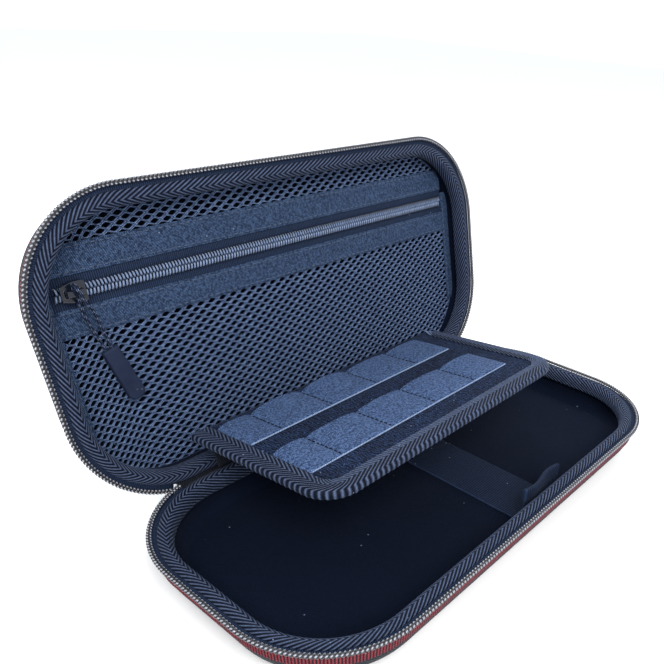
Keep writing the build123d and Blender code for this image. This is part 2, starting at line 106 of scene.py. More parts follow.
camera_data = bpy.data.cameras.new("camera")
camera_data.sensor_fit = "HORIZONTAL"
camera_data.sensor_width = SENSOR
camera_data.lens = FOCAL_PX / PICTURE * SENSOR
camera_data.shift_x = (PICTURE / 2 - AIM_X) / PICTURE
camera_data.shift_y = (AIM_Y - PICTURE / 2) / PICTURE
camera_data.clip_start = 0.01
camera = bpy.data.objects.new("camera", camera_data)
bpy.context.scene.collection.objects.link(camera)
rows = [(RIGHT[i], -DOWN[i], -AHEAD[i], EYE[i]) for i in range(3)]
camera.matrix_world = Matrix(rows + [(0.0, 0.0, 0.0, 1.0)])
bpy.context.scene.camera = camera
print("lens", round(camera_data.lens, 2), "mm")

# %% [markdown]
# ## The pull's cord
# A thin cord runs from the rubber grip through the slider's bridge, folds back over it and goes
# into the grip again. A NURBS curve near a few given points gives the smooth, springy line
# of a short cord. The points are drawn in the pull's own frame: across it, along it and up.

# %% Cord line
ZIP_LINE, MESH_TOP = 27.5, 12.5
SLIDER_X, PULL_ANGLE = -108.0, math.radians(15.0)
CORD_DIAMETER, CORD_LENGTH = 1.6, 60.24
CORD_POINTS = [
    (-1.4, -25.0, 2.6),
    (-1.4, -18.0, 2.6),
    (-1.9, -10.5, 3.6),
    (-0.5, -3.8, 4.0),
    (0.5, 3.4, 4.0),
    (0.5, 3.5, 7.6),
    (0.0, -3.0, 7.6),
    (1.9, -9.8, 5.4),
    (1.4, -18.0, 2.6),
    (1.4, -25.0, 2.6),
]


def pull_board(across, along, up):
    """The slider's pull: turned 15 degrees on the lid, with its origin at the slider."""
    cos, sin = math.cos(PULL_ANGLE), math.sin(PULL_ANGLE)
    across, along, up = (np.asarray(value, float) for value in (across, along, up))
    x = SLIDER_X + across * cos - along * sin
    y = ZIP_LINE + across * sin + along * cos
    return pocket_board(x, y, MESH_TOP + up)


def nurbs_line(name, points):
    """A smooth curve object with these points as its control points."""
    curve = bpy.data.curves.new(name, "CURVE")
    curve.dimensions = "3D"
    spline = curve.splines.new("NURBS")
    spline.points.add(len(points) - 1)
    for slot, point in zip(spline.points, points):
        slot.co = (*point, 1.0)
    spline.order_u = 3
    spline.use_endpoint_u = True
    curve.resolution_u = 20
    line = bpy.data.objects.new(name, curve)
    bpy.context.scene.collection.objects.link(line)
    return line


def read_line(line):
    """The points of a smooth curve object, which is then taken away again."""
    graph = bpy.context.evaluated_depsgraph_get()
    drawn = bpy.data.meshes.new_from_object(line.evaluated_get(graph))
    points = np.array([vertex.co[:] for vertex in drawn.vertices])
    bpy.data.objects.remove(line)
    bpy.data.meshes.remove(drawn)
    return points


cord_route = [tuple(pull_board(*point)) for point in CORD_POINTS]
cord_line = read_line(nurbs_line("cord_guide", cord_route))
print("cord line", len(cord_line), "points")

# %% [markdown]
# A bevel on the curve would give one smooth tube. This cord is laid from strands, so each strand
# is a tube of its own that winds round the curve's points. The frame that it winds in is carried
# from point to point, because one worked out afresh at each point would spin at the fold.


# %% Strand helpers
def transported_frames(points):
    """A direction along a line, and two square to it that never spin round it."""
    heading = np.gradient(points, axis=0)
    heading /= np.linalg.norm(heading, axis=1)[:, None]
    aside = np.zeros_like(points)
    aside[0] = np.cross(heading[0], (0.0, 0.0, 1.0))
    aside[0] /= np.linalg.norm(aside[0])
    for k in range(1, len(points)):
        carried = aside[k - 1] - heading[k] * np.dot(aside[k - 1], heading[k])
        aside[k] = carried / np.linalg.norm(carried)
    return aside, np.cross(heading, aside)


def rope_mesh(name, points, strands, offset, radius, lay):
    """Strands wound round a line, one turn for each length of lay; all in metres."""
    sides = 8
    aside, over = transported_frames(points)
    steps = np.linalg.norm(np.diff(points, axis=0), axis=1)
    travel = np.concatenate([[0.0], np.cumsum(steps)])
    vertices, faces, corners = [], [], []
    for strand in range(strands):
        turn = 2 * math.pi * (travel / lay + strand / strands)
        swing = np.cos(turn)[:, None] * aside + np.sin(turn)[:, None] * over
        center = points + offset * swing
        first = len(vertices)
        for k in range(len(points)):
            for s in range(sides):
                around = 2 * math.pi * s / sides
                outward = math.cos(around) * aside[k] + math.sin(around) * over[k]
                vertices.append(tuple(center[k] + radius * outward))
        for k in range(len(points) - 1):
            for s in range(sides):
                a, b = first + k * sides + s, first + k * sides + (s + 1) % sides
                faces.append((a, b, b + sides, a + sides))
                left, right = travel[k] / MM, travel[k + 1] / MM
                low, high = s * radius / MM, (s + 1) * radius / MM
                corners += [(left, low), (left, high), (right, high), (right, low)]
        for end, order in ((first, -1), (first + (len(points) - 1) * sides, 1)):
            cap = list(range(end, end + sides))[::order]
            faces.append(tuple(cap))
            corners += [(0.0, 0.0)] * sides
    mesh = bpy.data.meshes.new(name)
    mesh.from_pydata(vertices, [], faces)
    layer = mesh.uv_layers.new(name="ribs_and_width")
    layer.data.foreach_set("uv", np.array(corners, np.float32).reshape(-1))
    mesh.shade_smooth()
    return mesh


print("strand helpers ready")

# %% [markdown]
# The finished cord has three strands, which together are as thick as the cord. Both ends are
# inside the grip, and its length is counted from one to the other.

# %% Cord
STRANDS, STRAND_LAY = 3, 8.0
STRAND_OFFSET, STRAND_RADIUS = 0.235 * CORD_DIAMETER, 0.265 * CORD_DIAMETER
cord_mesh = rope_mesh(
    "pull_cord_loop", cord_line, STRANDS, STRAND_OFFSET * MM, STRAND_RADIUS * MM, STRAND_LAY * MM,
)
cord = bpy.data.objects.new("pull_cord_loop", cord_mesh)
bpy.context.scene.collection.objects.link(cord)
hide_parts("pull_cord")
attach(cord, "pocket_pull")
print("cord", len(cord_mesh.polygons), "faces")

# %% [markdown]
# ## A maker's helpers
# Almost every soft piece here is a strip that follows a path: the bindings, the zip tapes, the
# woven bands. Extruding a Blender curve would do it, but a mesh built from rows of points lets
# each rib of the cloth be real, because the rows can be sheared to run along the ribs. The helper
# also keeps two counts in the UV map, ribs along the strip and millimetres across it, so that a
# material can put its finest threads exactly on the modelled ribs.


# %% Mesh from rows of points
def new_piece(name, mesh, body):
    """Link a mesh as a piece that rides on a body and takes a finish."""
    piece = bpy.data.objects.new(name, mesh)
    bpy.context.scene.collection.objects.link(piece)
    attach(piece, body)
    return piece


def signed_volume(points, faces):
    """Positive where the faces of a closed skin look outwards."""
    corners = points[faces]
    fans = np.cross(corners[:, 1], corners[:, 2])
    more = np.cross(corners[:, 2], corners[:, 3])
    return float(np.sum(corners[:, 0] * (fans + more)))


def grid_mesh(name, points, u, v, wrap_u=False, wrap_v=True):
    """A skin over rows of points, n along and m across, with u and v kept as its UV map."""
    along, across = points.shape[:2]
    rows = np.arange(along if wrap_u else along - 1)
    columns = np.arange(across if wrap_v else across - 1)
    i, j = np.meshgrid(rows, columns, indexing="ij")
    next_i, next_j = (i + 1) % along, (j + 1) % across
    faces = np.stack(
        [i * across + j, next_i * across + j, next_i * across + next_j, i * across + next_j], -1
    ).reshape(-1, 4)
    flat = points.reshape(-1, 3)
    u_edge = np.stack([u[i], u[i + 1], u[i + 1], u[i]], -1).reshape(-1)
    v_edge = np.stack([v[j], v[j], v[j + 1], v[j + 1]], -1).reshape(-1)
    uv = np.stack([u_edge, v_edge], -1).reshape(-1, 4, 2)
    if signed_volume(flat - flat.mean(0), faces) < 0:
        faces, uv = faces[:, ::-1], uv[:, ::-1]
    polygons = [tuple(face) for face in faces.tolist()]
    uv_list = uv.reshape(-1, 2)
    if wrap_v and not wrap_u:
        first = list(range(across))
        last = [(along - 1) * across + k for k in range(across)]
        polygons += [tuple(first), tuple(reversed(last))]
        uv_list = np.concatenate([uv_list, np.zeros((2 * across, 2))])
    mesh = bpy.data.meshes.new(name)
    mesh.from_pydata(flat.tolist(), [], polygons)
    layer = mesh.uv_layers.new(name="ribs_and_width")
    layer.data.foreach_set("uv", uv_list.astype(np.float32).reshape(-1))
    mesh.shade_smooth()
    mesh.update()
    return mesh


print("grid helper ready")


# %% [markdown]
# ## Paths for the strips
# The rim is a rounded rectangle. Its points are worked out from the distance travelled along the
# teeth, together with the direction that points into the case, so any strip can be laid at any
# inset from it. The flap's binding follows three sides in the same manner.

# %% Paths
RIM_LENGTH = 4 * (HALF_LENGTH - CORNER) + 4 * (HALF_WIDTH - CORNER) + 2 * math.pi * CORNER


def rounded_path(travel, legs):
    """Points and inward directions along straight legs and round corners, told in turn."""
    travel = np.asarray(travel, float)
    x, y = np.zeros_like(travel), np.zeros_like(travel)
    nx, ny = np.zeros_like(travel), np.zeros_like(travel)
    start = 0.0
    for index, (px, py, heading, length, radius) in enumerate(legs):
        last = index == len(legs) - 1
        inside = (travel >= start) & ((travel < start + length) | last)
        if index == 0:
            inside |= travel < 0
        run = travel - start
        side = heading + math.pi / 2
        if radius:
            angle = side + run / radius
            dx = radius * (math.cos(side) - np.cos(angle))
            dy = radius * (math.sin(side) - np.sin(angle))
        else:
            angle = side + 0.0 * run
            dx, dy = run * math.cos(heading), run * math.sin(heading)
        x, y = np.where(inside, px + dx, x), np.where(inside, py + dy, y)
        nx, ny = np.where(inside, np.cos(angle), nx), np.where(inside, np.sin(angle), ny)
        start += length
    return x, y, nx, ny


def rim_legs():
    """The teeth's line, from the middle of the hinge side, anticlockwise from above."""
    a, b, r = HALF_LENGTH - CORNER, HALF_WIDTH - CORNER, CORNER
    bend = math.pi / 2 * r
    west, south, east = math.pi, 1.5 * math.pi, 2.0 * math.pi
    return [
        (0.0, HALF_WIDTH, west, a, 0.0),
        (-a, HALF_WIDTH, west, bend, r),
        (-HALF_LENGTH, b, south, 2 * b, 0.0),
        (-HALF_LENGTH, -b, south, bend, r),
        (-a, -HALF_WIDTH, east, 2 * a, 0.0),
        (a, -HALF_WIDTH, east, bend, r),
        (HALF_LENGTH, -b, 2.5 * math.pi, 2 * b, 0.0),
        (HALF_LENGTH, b, 2.5 * math.pi, bend, r),
        (a, HALF_WIDTH, 3.0 * math.pi, a, 0.0),
    ]


def rim_path(travel):
    """The rim as one closed line."""
    return rounded_path(np.mod(travel, RIM_LENGTH), rim_legs())


FLAP_HALF, FLAP_REACH, FLAP_CORNER, FLAP_BACK_GAP = 81.0, 88.0, 15.0, 1.2
FLAP_SIDE = FLAP_REACH - FLAP_CORNER - FLAP_BACK_GAP
FLAP_FRONT = 2 * (FLAP_HALF - FLAP_CORNER)
FLAP_BEND = math.pi / 2 * FLAP_CORNER
FLAP_EDGE = 2 * FLAP_SIDE + FLAP_FRONT + 2 * FLAP_BEND


def flap_path(travel):
    """The flap's three free edges, from its back left corner round the front."""
    south, east, north = 1.5 * math.pi, 2.0 * math.pi, 2.5 * math.pi
    inner = FLAP_HALF - FLAP_CORNER
    legs = [
        (-FLAP_HALF, -FLAP_BACK_GAP, south, FLAP_SIDE, 0.0),
        (-FLAP_HALF, FLAP_CORNER - FLAP_REACH, south, FLAP_BEND, FLAP_CORNER),
        (-inner, -FLAP_REACH, east, FLAP_FRONT, 0.0),
        (inner, -FLAP_REACH, east, FLAP_BEND, FLAP_CORNER),
        (FLAP_HALF, FLAP_CORNER - FLAP_REACH, north, FLAP_SIDE, 0.0),
    ]
    return rounded_path(np.clip(travel, 0.0, FLAP_EDGE), legs)


def straight_path(start, level):
    """A path along x at one level, whose inward direction is the second direction."""

    def path(travel):
        travel = np.asarray(travel, float)
        level_there = np.full_like(travel, level)
        return start + travel, level_there, np.zeros_like(travel), np.ones_like(travel)

    return path


print("rim", round(RIM_LENGTH, 1), "mm, flap edge", round(FLAP_EDGE, 1), "mm")


# %% [markdown]
# ## The strip itself
# A strip is a closed section, told as points of inset and height, carried along a path. Relief
# moves each point along the section's outward normal, which is how ribs and stitches rise.

# %% Strip
def arc(center, radius, start, end, count):
    """Points on part of a circle, angles in degrees."""
    angles = np.radians(np.linspace(start, end, count))
    return [(center[0] + radius * math.cos(a), center[1] + radius * math.sin(a)) for a in angles]


def section_normals(section):
    """Outward normals of a closed section."""
    step = np.roll(section, -1, 0) - np.roll(section, 1, 0)
    normals = np.stack([step[:, 1], -step[:, 0]], -1)
    normals /= np.linalg.norm(normals, axis=1)[:, None] + 1e-12
    x, y = section[:, 0], section[:, 1]
    area = np.sum(x * np.roll(y, -1) - np.roll(x, -1) * y)
    return normals if area > 0 else -normals


def strip(name, board, path, length, section, step, relief=None, closed=False, lean=None):
    """A closed section along a path; lean shears the rows so that they run along the ribs."""
    section = np.asarray(section, float)
    normals = section_normals(section)
    count = max(2, round(length / step))
    rows = np.arange(count if closed else count + 1)
    pitch = length / count
    lean_by = np.zeros(len(section)) if lean is None else np.asarray(lean, float)
    travel = rows[:, None] * pitch + lean_by[None, :]
    travel = travel if closed else np.clip(travel, 0.0, length)
    width = np.concatenate([[0.0], np.cumsum(np.linalg.norm(np.diff(section, axis=0), axis=1))])
    rise = np.zeros((len(rows), len(section)))
    if relief is not None:
        rise = relief(rows[:, None] * pitch, width[None, :]) + rise
    inset = section[None, :, 0] + normals[None, :, 0] * rise
    height = section[None, :, 1] + normals[None, :, 1] * rise
    x, y, nx, ny = path(travel)
    points = board(x + nx * inset, y + ny * inset, height)
    closing = np.linalg.norm(section[0] - section[-1])
    u = np.arange(count + 1) * pitch
    v = np.append(width, width[-1] + closing)
    return grid_mesh(name, points, u, v, wrap_u=closed)


def rounded_slab(near, far, low, high, corner, top_points=9):
    """A closed section: a slab with rounded corners and points spread over its top."""
    corner = min(corner, (high - low) / 2 - 0.01)
    top = [(x, high) for x in np.linspace(far - corner, near + corner, top_points)]
    left = arc((near + corner, high - corner), corner, 90.0, 180.0, 3)[1:]
    left += arc((near + corner, low + corner), corner, 180.0, 270.0, 3)
    right = arc((far - corner, low + corner), corner, 270.0, 360.0, 3)
    right += arc((far - corner, high - corner), corner, 0.0, 90.0, 3)[:-1]
    return top + left + right


print("strip helper ready")

# %% [markdown]
# ## Shared finishes as node groups
# Cloth looks like cloth because of three things: threads that cross, colour that drifts a little
# over the surface, and lint. Each of these is a node group with named sockets, built once. A
# material then chooses its own pitch and strength. Image textures could do this too, but threads
# made by formula stay sharp at any distance.


# %% Group helpers
def node_group(name, inputs, outputs):
    """An empty shader node group with these named sockets."""
    group = bpy.data.node_groups.new(name, "ShaderNodeTree")
    for label, kind, value in inputs:
        socket = group.interface.new_socket(label, in_out="INPUT", socket_type=kind)
        if value is not None:
            socket.default_value = value
    for label, kind in outputs:
        group.interface.new_socket(label, in_out="OUTPUT", socket_type=kind)
    enter, leave = group.nodes.new("NodeGroupInput"), group.nodes.new("NodeGroupOutput")
    return group, enter, leave


def math_node(tree, operation, first, second=None, third=None):
    """A Math node whose inputs are sockets or plain numbers."""
    node = tree.nodes.new("ShaderNodeMath")
    node.operation = operation
    for slot, value in zip(node.inputs, (first, second, third)):
        if isinstance(value, (int, float)):
            slot.default_value = value
        elif value is not None:
            tree.links.new(value, slot)
    return node.outputs[0]


def wave(tree, phase):
    """A soft ridge from 0 to 1 that repeats once for each whole number."""
    turned = math_node(tree, "COSINE", math_node(tree, "MULTIPLY", phase, 2 * math.pi))
    return math_node(tree, "MULTIPLY_ADD", turned, 0.5, 0.5)


print("group helpers ready")

# %% [markdown]
# ### Crossed threads
# One set of ridges is the ribs, and a finer set across it is the single threads that wind over
# each rib. A slant turns the ribs into a twill. The vector is in millimetres.


# %% Crossed threads
def make_thread_group():
    """Height of ribs that are crossed by finer threads, and a Shade mask for painted shade in the
    gaps.
    """
    group, enter, leave = node_group(
        "crossed_threads",
        [
            ("Vector", "NodeSocketVector", None),
            ("Rib Pitch", "NodeSocketFloat", 1.0),
            ("Thread Pitch", "NodeSocketFloat", 0.5),
            ("Slant", "NodeSocketFloat", 0.0),
            ("Unevenness", "NodeSocketFloat", 0.1),
            ("Contrast", "NodeSocketFloat", 1.4),
        ],
        [("Height", "NodeSocketFloat"), ("Shade", "NodeSocketFloat")],
    )
    split = group.nodes.new("ShaderNodeSeparateXYZ")
    group.links.new(enter.outputs["Vector"], split.inputs[0])
    drift = group.nodes.new("ShaderNodeTexNoise")
    drift.inputs["Scale"].default_value = 0.35
    drift.inputs["Detail"].default_value = 3.0
    group.links.new(enter.outputs["Vector"], drift.inputs["Vector"])
    shifted = math_node(group, "SUBTRACT", drift.outputs[0], 0.5)
    sway = math_node(group, "MULTIPLY", shifted, enter.outputs["Unevenness"])
    slanted = math_node(
        group, "MULTIPLY_ADD", split.outputs[1], enter.outputs["Slant"], split.outputs[0]
    )
    rib_phase = math_node(group, "DIVIDE", slanted, enter.outputs["Rib Pitch"])
    rib = wave(group, math_node(group, "ADD", rib_phase, sway))
    thread_phase = math_node(group, "DIVIDE", split.outputs[1], enter.outputs["Thread Pitch"])
    thread = wave(group, math_node(group, "ADD", thread_phase, sway))
    beaded = math_node(group, "MULTIPLY_ADD", thread, 0.45, 0.55)
    height = math_node(group, "MULTIPLY", rib, beaded)
    shade = math_node(group, "POWER", height, enter.outputs["Contrast"])
    group.links.new(height, leave.inputs["Height"])
    group.links.new(shade, leave.inputs["Shade"])
    return group


crossed_threads = make_thread_group()
print("node group", crossed_threads.name)

# %% [markdown]
# ### Drift and lint
# Dyed cloth is never one flat colour, and dark cloth gathers pale specks of lint. Drift is a slow
# noise. Lint is the centres of scattered cells, of which only a few are let through.


# %% Drift and lint
def make_drift_group():
    """A slow noise round one half, for mixing two tones."""
    group, enter, leave = node_group(
        "colour_drift",
        [
            ("Vector", "NodeSocketVector", None),
            ("Scale", "NodeSocketFloat", 40.0),
            ("Strength", "NodeSocketFloat", 0.5),
        ],
        [("Factor", "NodeSocketFloat")],
    )
    noise = group.nodes.new("ShaderNodeTexNoise")
    noise.inputs["Detail"].default_value = 5.0
    noise.inputs["Roughness"].default_value = 0.62
    group.links.new(enter.outputs["Vector"], noise.inputs["Vector"])
    group.links.new(enter.outputs["Scale"], noise.inputs["Scale"])
    spread = math_node(group, "SUBTRACT", noise.outputs[0], 0.5)
    strong = math_node(group, "MULTIPLY", spread, enter.outputs["Strength"])
    group.links.new(math_node(group, "ADD", strong, 0.5), leave.inputs["Factor"])
    return group


def make_lint_group():
    """A mask of small round specks, few of which are kept."""
    group, enter, leave = node_group(
        "lint_specks",
        [
            ("Vector", "NodeSocketVector", None),
            ("Scale", "NodeSocketFloat", 260.0),
            ("Amount", "NodeSocketFloat", 0.2),
        ],
        [("Mask", "NodeSocketFloat")],
    )
    cells = group.nodes.new("ShaderNodeTexVoronoi")
    group.links.new(enter.outputs["Vector"], cells.inputs["Vector"])
    group.links.new(enter.outputs["Scale"], cells.inputs["Scale"])
    center = math_node(group, "LESS_THAN", cells.outputs["Distance"], 0.13)
    chance = group.nodes.new("ShaderNodeSeparateColor")
    group.links.new(cells.outputs["Color"], chance.inputs[0])
    kept = math_node(group, "LESS_THAN", chance.outputs[0], enter.outputs["Amount"])
    group.links.new(math_node(group, "MULTIPLY", center, kept), leave.inputs["Mask"])
    return group


colour_drift = make_drift_group()
lint_specks = make_lint_group()
print("node groups", colour_drift.name, lint_specks.name)

# %% [markdown]
# ## Cloth materials
# All the cloths are made the same way: a dark colour in the gaps, which is painted shade, a
# lighter one on the threads, drift between them and lint on top. What makes them look unlike
# each other is the pitch, the slant and the sheen. The sheen, which is the pale bloom of fibres at
# a glancing angle, is a number on the shader itself.


# %% Cloth recipe
def place_group(tree, group, **values):
    """A group node in a tree; each named value is a number or a socket."""
    node = tree.nodes.new("ShaderNodeGroup")
    node.node_tree = group
    for label, value in values.items():
        slot = node.inputs[label.replace("_", " ")]
        if isinstance(value, (int, float)):
            slot.default_value = value
        else:
            tree.links.new(value, slot)
    return node


def mix_colors(tree, factor, first, second):
    """A colour between two, where each is a socket or a plain colour."""
    node = tree.nodes.new("ShaderNodeMix")
    node.data_type = "RGBA"
    slots = (node.inputs[0], node.inputs[6], node.inputs[7])
    for slot, value in zip(slots, (factor, first, second)):
        if isinstance(value, tuple):
            slot.default_value = (*value, 1.0)
        elif isinstance(value, (int, float)):
            slot.default_value = value
        else:
            tree.links.new(value, slot)
    return node.outputs[2]


def new_finish(name, roughness, sheen=0.0, coat=0.0, gloss=0.07):
    """A node material and its tree, with the plain numbers set on the shader."""
    material = bpy.data.materials.new(name)
    material.use_nodes = True
    tree = material.node_tree
    shader = tree.nodes["Principled BSDF"]
    shader.inputs["Roughness"].default_value = roughness
    shader.inputs["Sheen Weight"].default_value = sheen
    shader.inputs["Sheen Roughness"].default_value = 0.45
    shader.inputs["Coat Weight"].default_value = coat
    shader.inputs["Specular IOR Level"].default_value = gloss
    return material, tree, shader


def add_bump(tree, shader, height, distance):
    """Fine relief from a height socket, as deep as the distance in metres."""
    bump = tree.nodes.new("ShaderNodeBump")
    bump.inputs["Distance"].default_value = distance
    tree.links.new(height, bump.inputs["Height"])
    tree.links.new(bump.outputs[0], shader.inputs["Normal"])


def cloth_finish(name, gap, thread, rib, fine, slant=0.0, uneven=0.12, bump=0.15, sheen=0.25,
                 roughness=0.75, lint=0.05, drift=0.9, lint_color=(0.16, 0.20, 0.28),
                 contrast=1.4, heather=1.6, grain=900.0):
    """Cloth with ribs and fine threads, both pitches in millimetres."""
    material, tree, shader = new_finish(name, roughness, sheen)
    shader.inputs["Sheen Tint"].default_value = (0.62, 0.70, 0.90, 1.0)
    coords = tree.nodes.new("ShaderNodeTexCoord")
    threads = place_group(
        tree,
        crossed_threads,
        Vector=coords.outputs["UV"],
        Rib_Pitch=rib,
        Thread_Pitch=fine,
        Slant=slant,
        Unevenness=uneven,
        Contrast=contrast,
    )
    slow = place_group(
        tree, colour_drift, Vector=coords.outputs["Object"], Scale=55.0, Strength=drift
    )
    specks = place_group(
        tree, lint_specks, Vector=coords.outputs["Object"], Scale=420.0, Amount=lint
    )
    yarns = place_group(
        tree, colour_drift, Vector=coords.outputs["Object"], Scale=grain, Strength=heather
    )
    spun = math_node(tree, "MULTIPLY_ADD", slow.outputs["Factor"], 0.5, yarns.outputs["Factor"])
    shift = math_node(tree, "MULTIPLY", spun, 0.6667)
    dyed = mix_colors(tree, shift, tuple(0.35 * c for c in thread), tuple(1.65 * c for c in thread))
    # Painted shade: the gap colour darkens the hollows between the threads.
    weave_with_painted_shade = mix_colors(tree, threads.outputs["Shade"], gap, dyed)
    dusty = mix_colors(tree, specks.outputs["Mask"], weave_with_painted_shade, lint_color)
    tree.links.new(dusty, shader.inputs["Base Color"])
    fuzz = tree.nodes.new("ShaderNodeTexNoise")
    fuzz.inputs["Scale"].default_value = 3200.0
    fuzz.inputs["Detail"].default_value = 2.0
    tree.links.new(coords.outputs["Object"], fuzz.inputs["Vector"])
    rough = math_node(tree, "MULTIPLY_ADD", fuzz.outputs[0], 0.3, roughness - 0.15)
    tree.links.new(rough, shader.inputs["Roughness"])
    height = math_node(tree, "MULTIPLY_ADD", fuzz.outputs[0], 0.35, threads.outputs["Height"])
    add_bump(tree, shader, height, bump * MM)
    return material


print("cloth recipe ready")

# %% [markdown]
# Each cloth of the case, from the ribbed binding that catches most light to the near-black velvet.

# %% Cloths
RIB_GOAL = 2.95
RIB_PITCH = RIM_LENGTH / round(RIM_LENGTH / RIB_GOAL)
binding_cloth = cloth_finish(
    "ribbed_binding", (0.0008, 0.0024, 0.0090), (0.118, 0.160, 0.275), RIB_PITCH, 0.30,
    uneven=0.05, bump=0.14, sheen=0.05, roughness=0.55, lint=0.02, contrast=2.6, heather=2.0,
)
tape_cloth = cloth_finish(
    "zip_tape_weave", (0.0040, 0.0080, 0.0200), (0.024, 0.040, 0.084), 0.9, 0.45,
    bump=0.08, sheen=0.03, roughness=0.7,
)
band_cloth = cloth_finish(
    "pocket_webbing", (0.0020, 0.0070, 0.0260), (0.062, 0.104, 0.190), 0.72, 0.60, slant=0.9,
    uneven=0.7, bump=0.10, sheen=0.04, roughness=0.66, contrast=1.1, heather=7.0, grain=1000.0,
)
net_cloth = cloth_finish(
    "knitted_net", (0.0060, 0.0180, 0.0600), (0.175, 0.245, 0.395), 1.0, 0.55,
    uneven=0.10, bump=0.10, sheen=0.05, roughness=0.50, lint=0.02,
    contrast=2.3, heather=4.0, grain=1000.0,
)
elastic_cloth = cloth_finish(
    "elastic_twill", (0.0050, 0.0170, 0.0600), (0.104, 0.168, 0.315), 0.85, 0.62, slant=0.8,
    uneven=0.35, bump=0.14, sheen=0.05, roughness=0.7, contrast=1.1, heather=9.0, grain=1000.0,
)
velvet_cloth = cloth_finish(
    "crushed_velvet", (0.0006, 0.0022, 0.0095), (0.0160, 0.0330, 0.0850), 1.4, 1.1,
    uneven=3.0, bump=0.25, sheen=0.04, roughness=0.85, lint=0.05, drift=5.0, heather=6.0,
    grain=520.0,
)
lining_cloth = cloth_finish(
    "brushed_lining", (0.0005, 0.0016, 0.0060), (0.0040, 0.0095, 0.0270), 0.7, 0.5,
    uneven=1.6, bump=0.10, sheen=0.03, roughness=0.85, lint=0.02,
)
soft_back_cloth = cloth_finish(
    "soft_underside", (0.0012, 0.0024, 0.0062), (0.0075, 0.0120, 0.0260), 0.8, 0.8,
    uneven=1.2, bump=0.10, sheen=0.04, roughness=0.85, lint=0.04,
)
spine_cloth = cloth_finish(
    "spine_canvas", (0.0030, 0.0040, 0.0065), (0.0240, 0.0290, 0.0420), 0.9, 0.9,
    bump=0.12, sheen=0.04, roughness=0.78,
)
ribbon_cloth = cloth_finish(
    "grosgrain_ribbon", (0.0006, 0.0020, 0.0080), (0.0200, 0.0360, 0.0800), 1.1, 0.55,
    bump=0.15, sheen=0.04, roughness=0.62,
)
trim_cloth = cloth_finish(
    "red_brown_trim", (0.0100, 0.0040, 0.0080), (0.270, 0.046, 0.056), 1.3, 0.7, slant=0.9,
    uneven=0.15, bump=0.12, sheen=0.04, roughness=0.66, lint_color=(0.30, 0.18, 0.17), contrast=1.1,
)
stitch_thread = cloth_finish(
    "stitch_thread", (0.0100, 0.0180, 0.0400), (0.115, 0.155, 0.250), 0.35, 0.2, slant=1.0,
    bump=0.05, sheen=0.05, roughness=0.5, lint=0.0, contrast=0.8,
)
seam_thread = cloth_finish(
    "seam_thread", (0.0004, 0.0012, 0.0050), (0.0050, 0.0090, 0.0240), 0.5, 0.3, slant=1.0,
    bump=0.05, sheen=0.02, roughness=0.6, lint=0.0,
)
piping_thread = cloth_finish(
    "bright_piping", (0.0600, 0.0900, 0.1600), (0.330, 0.430, 0.640), 0.9, 0.3, slant=0.8,
    bump=0.06, sheen=0.06, roughness=0.5, lint=0.0, contrast=0.7,
)
print("cloths", len([m for m in bpy.data.materials if m.use_nodes]))

# %% [markdown]
# ## Hard finishes
# The teeth are black nylon with a soft gloss, the sliders dark plated metal, and the grip a matt
# rubber. The covered shell is a tough cloth over moulded foam. It has no UV map, so its threads
# are drawn in the object's own space. Scuffs are short noise streaks that change the roughness.


# %% Hard finish recipe
DUST = (0.10, 0.11, 0.13)


def hard_finish(name, dark, light, roughness, grain, bump, coat=0.0, lint=0.03, gloss=0.5):
    """Plastic, rubber or metal with drifting colour, scuffs and fine grain."""
    material, tree, shader = new_finish(name, roughness, coat=coat, gloss=gloss)
    coords = tree.nodes.new("ShaderNodeTexCoord")
    slow = place_group(
        tree, colour_drift, Vector=coords.outputs["Object"], Scale=160.0, Strength=1.4
    )
    specks = place_group(
        tree, lint_specks, Vector=coords.outputs["Object"], Scale=500.0, Amount=lint
    )
    toned = mix_colors(tree, slow.outputs["Factor"], dark, light)
    dusty = mix_colors(tree, specks.outputs["Mask"], toned, DUST)
    tree.links.new(dusty, shader.inputs["Base Color"])
    fine = tree.nodes.new("ShaderNodeTexNoise")
    fine.inputs["Scale"].default_value = grain
    fine.inputs["Detail"].default_value = 4.0
    tree.links.new(coords.outputs["Object"], fine.inputs["Vector"])
    rough = math_node(tree, "MULTIPLY_ADD", fine.outputs[0], 0.3, roughness - 0.15)
    tree.links.new(rough, shader.inputs["Roughness"])
    add_bump(tree, shader, fine.outputs[0], bump * MM)
    return material


def teeth_finish(name, body, painted_highlight_color, highlights_a_turn, offset):
    """Black nylon with a painted highlight: pale where the thread turns over the top of the coil.
    """
    material, tree, shader = new_finish(name, 0.3, coat=0.3, gloss=0.5)
    coords = tree.nodes.new("ShaderNodeTexCoord")
    along = tree.nodes.new("ShaderNodeSeparateXYZ")
    tree.links.new(coords.outputs["UV"], along.inputs[0])
    # Painted highlight: pale dashes where the thread passes over the top of the coil, where the
    # nylon would glint.
    turn = math_node(tree, "MULTIPLY_ADD", along.outputs[0], highlights_a_turn / 3.0, offset)
    painted_highlight = math_node(tree, "POWER", wave(tree, turn), 3.5)
    slow = place_group(
        tree, colour_drift, Vector=coords.outputs["Object"], Scale=420.0, Strength=1.5
    )
    uneven = math_node(tree, "MULTIPLY_ADD", slow.outputs["Factor"], 0.7, 0.45)
    highlight_mask = math_node(tree, "MULTIPLY", painted_highlight, uneven)
    tree.links.new(mix_colors(tree, highlight_mask, body, painted_highlight_color), shader.inputs["Base Color"])
    rough = math_node(tree, "MULTIPLY_ADD", slow.outputs["Factor"], 0.2, 0.22)
    tree.links.new(rough, shader.inputs["Roughness"])
    add_bump(tree, shader, slow.outputs["Factor"], 0.02 * MM)
    return material


print("hard finish recipes ready")
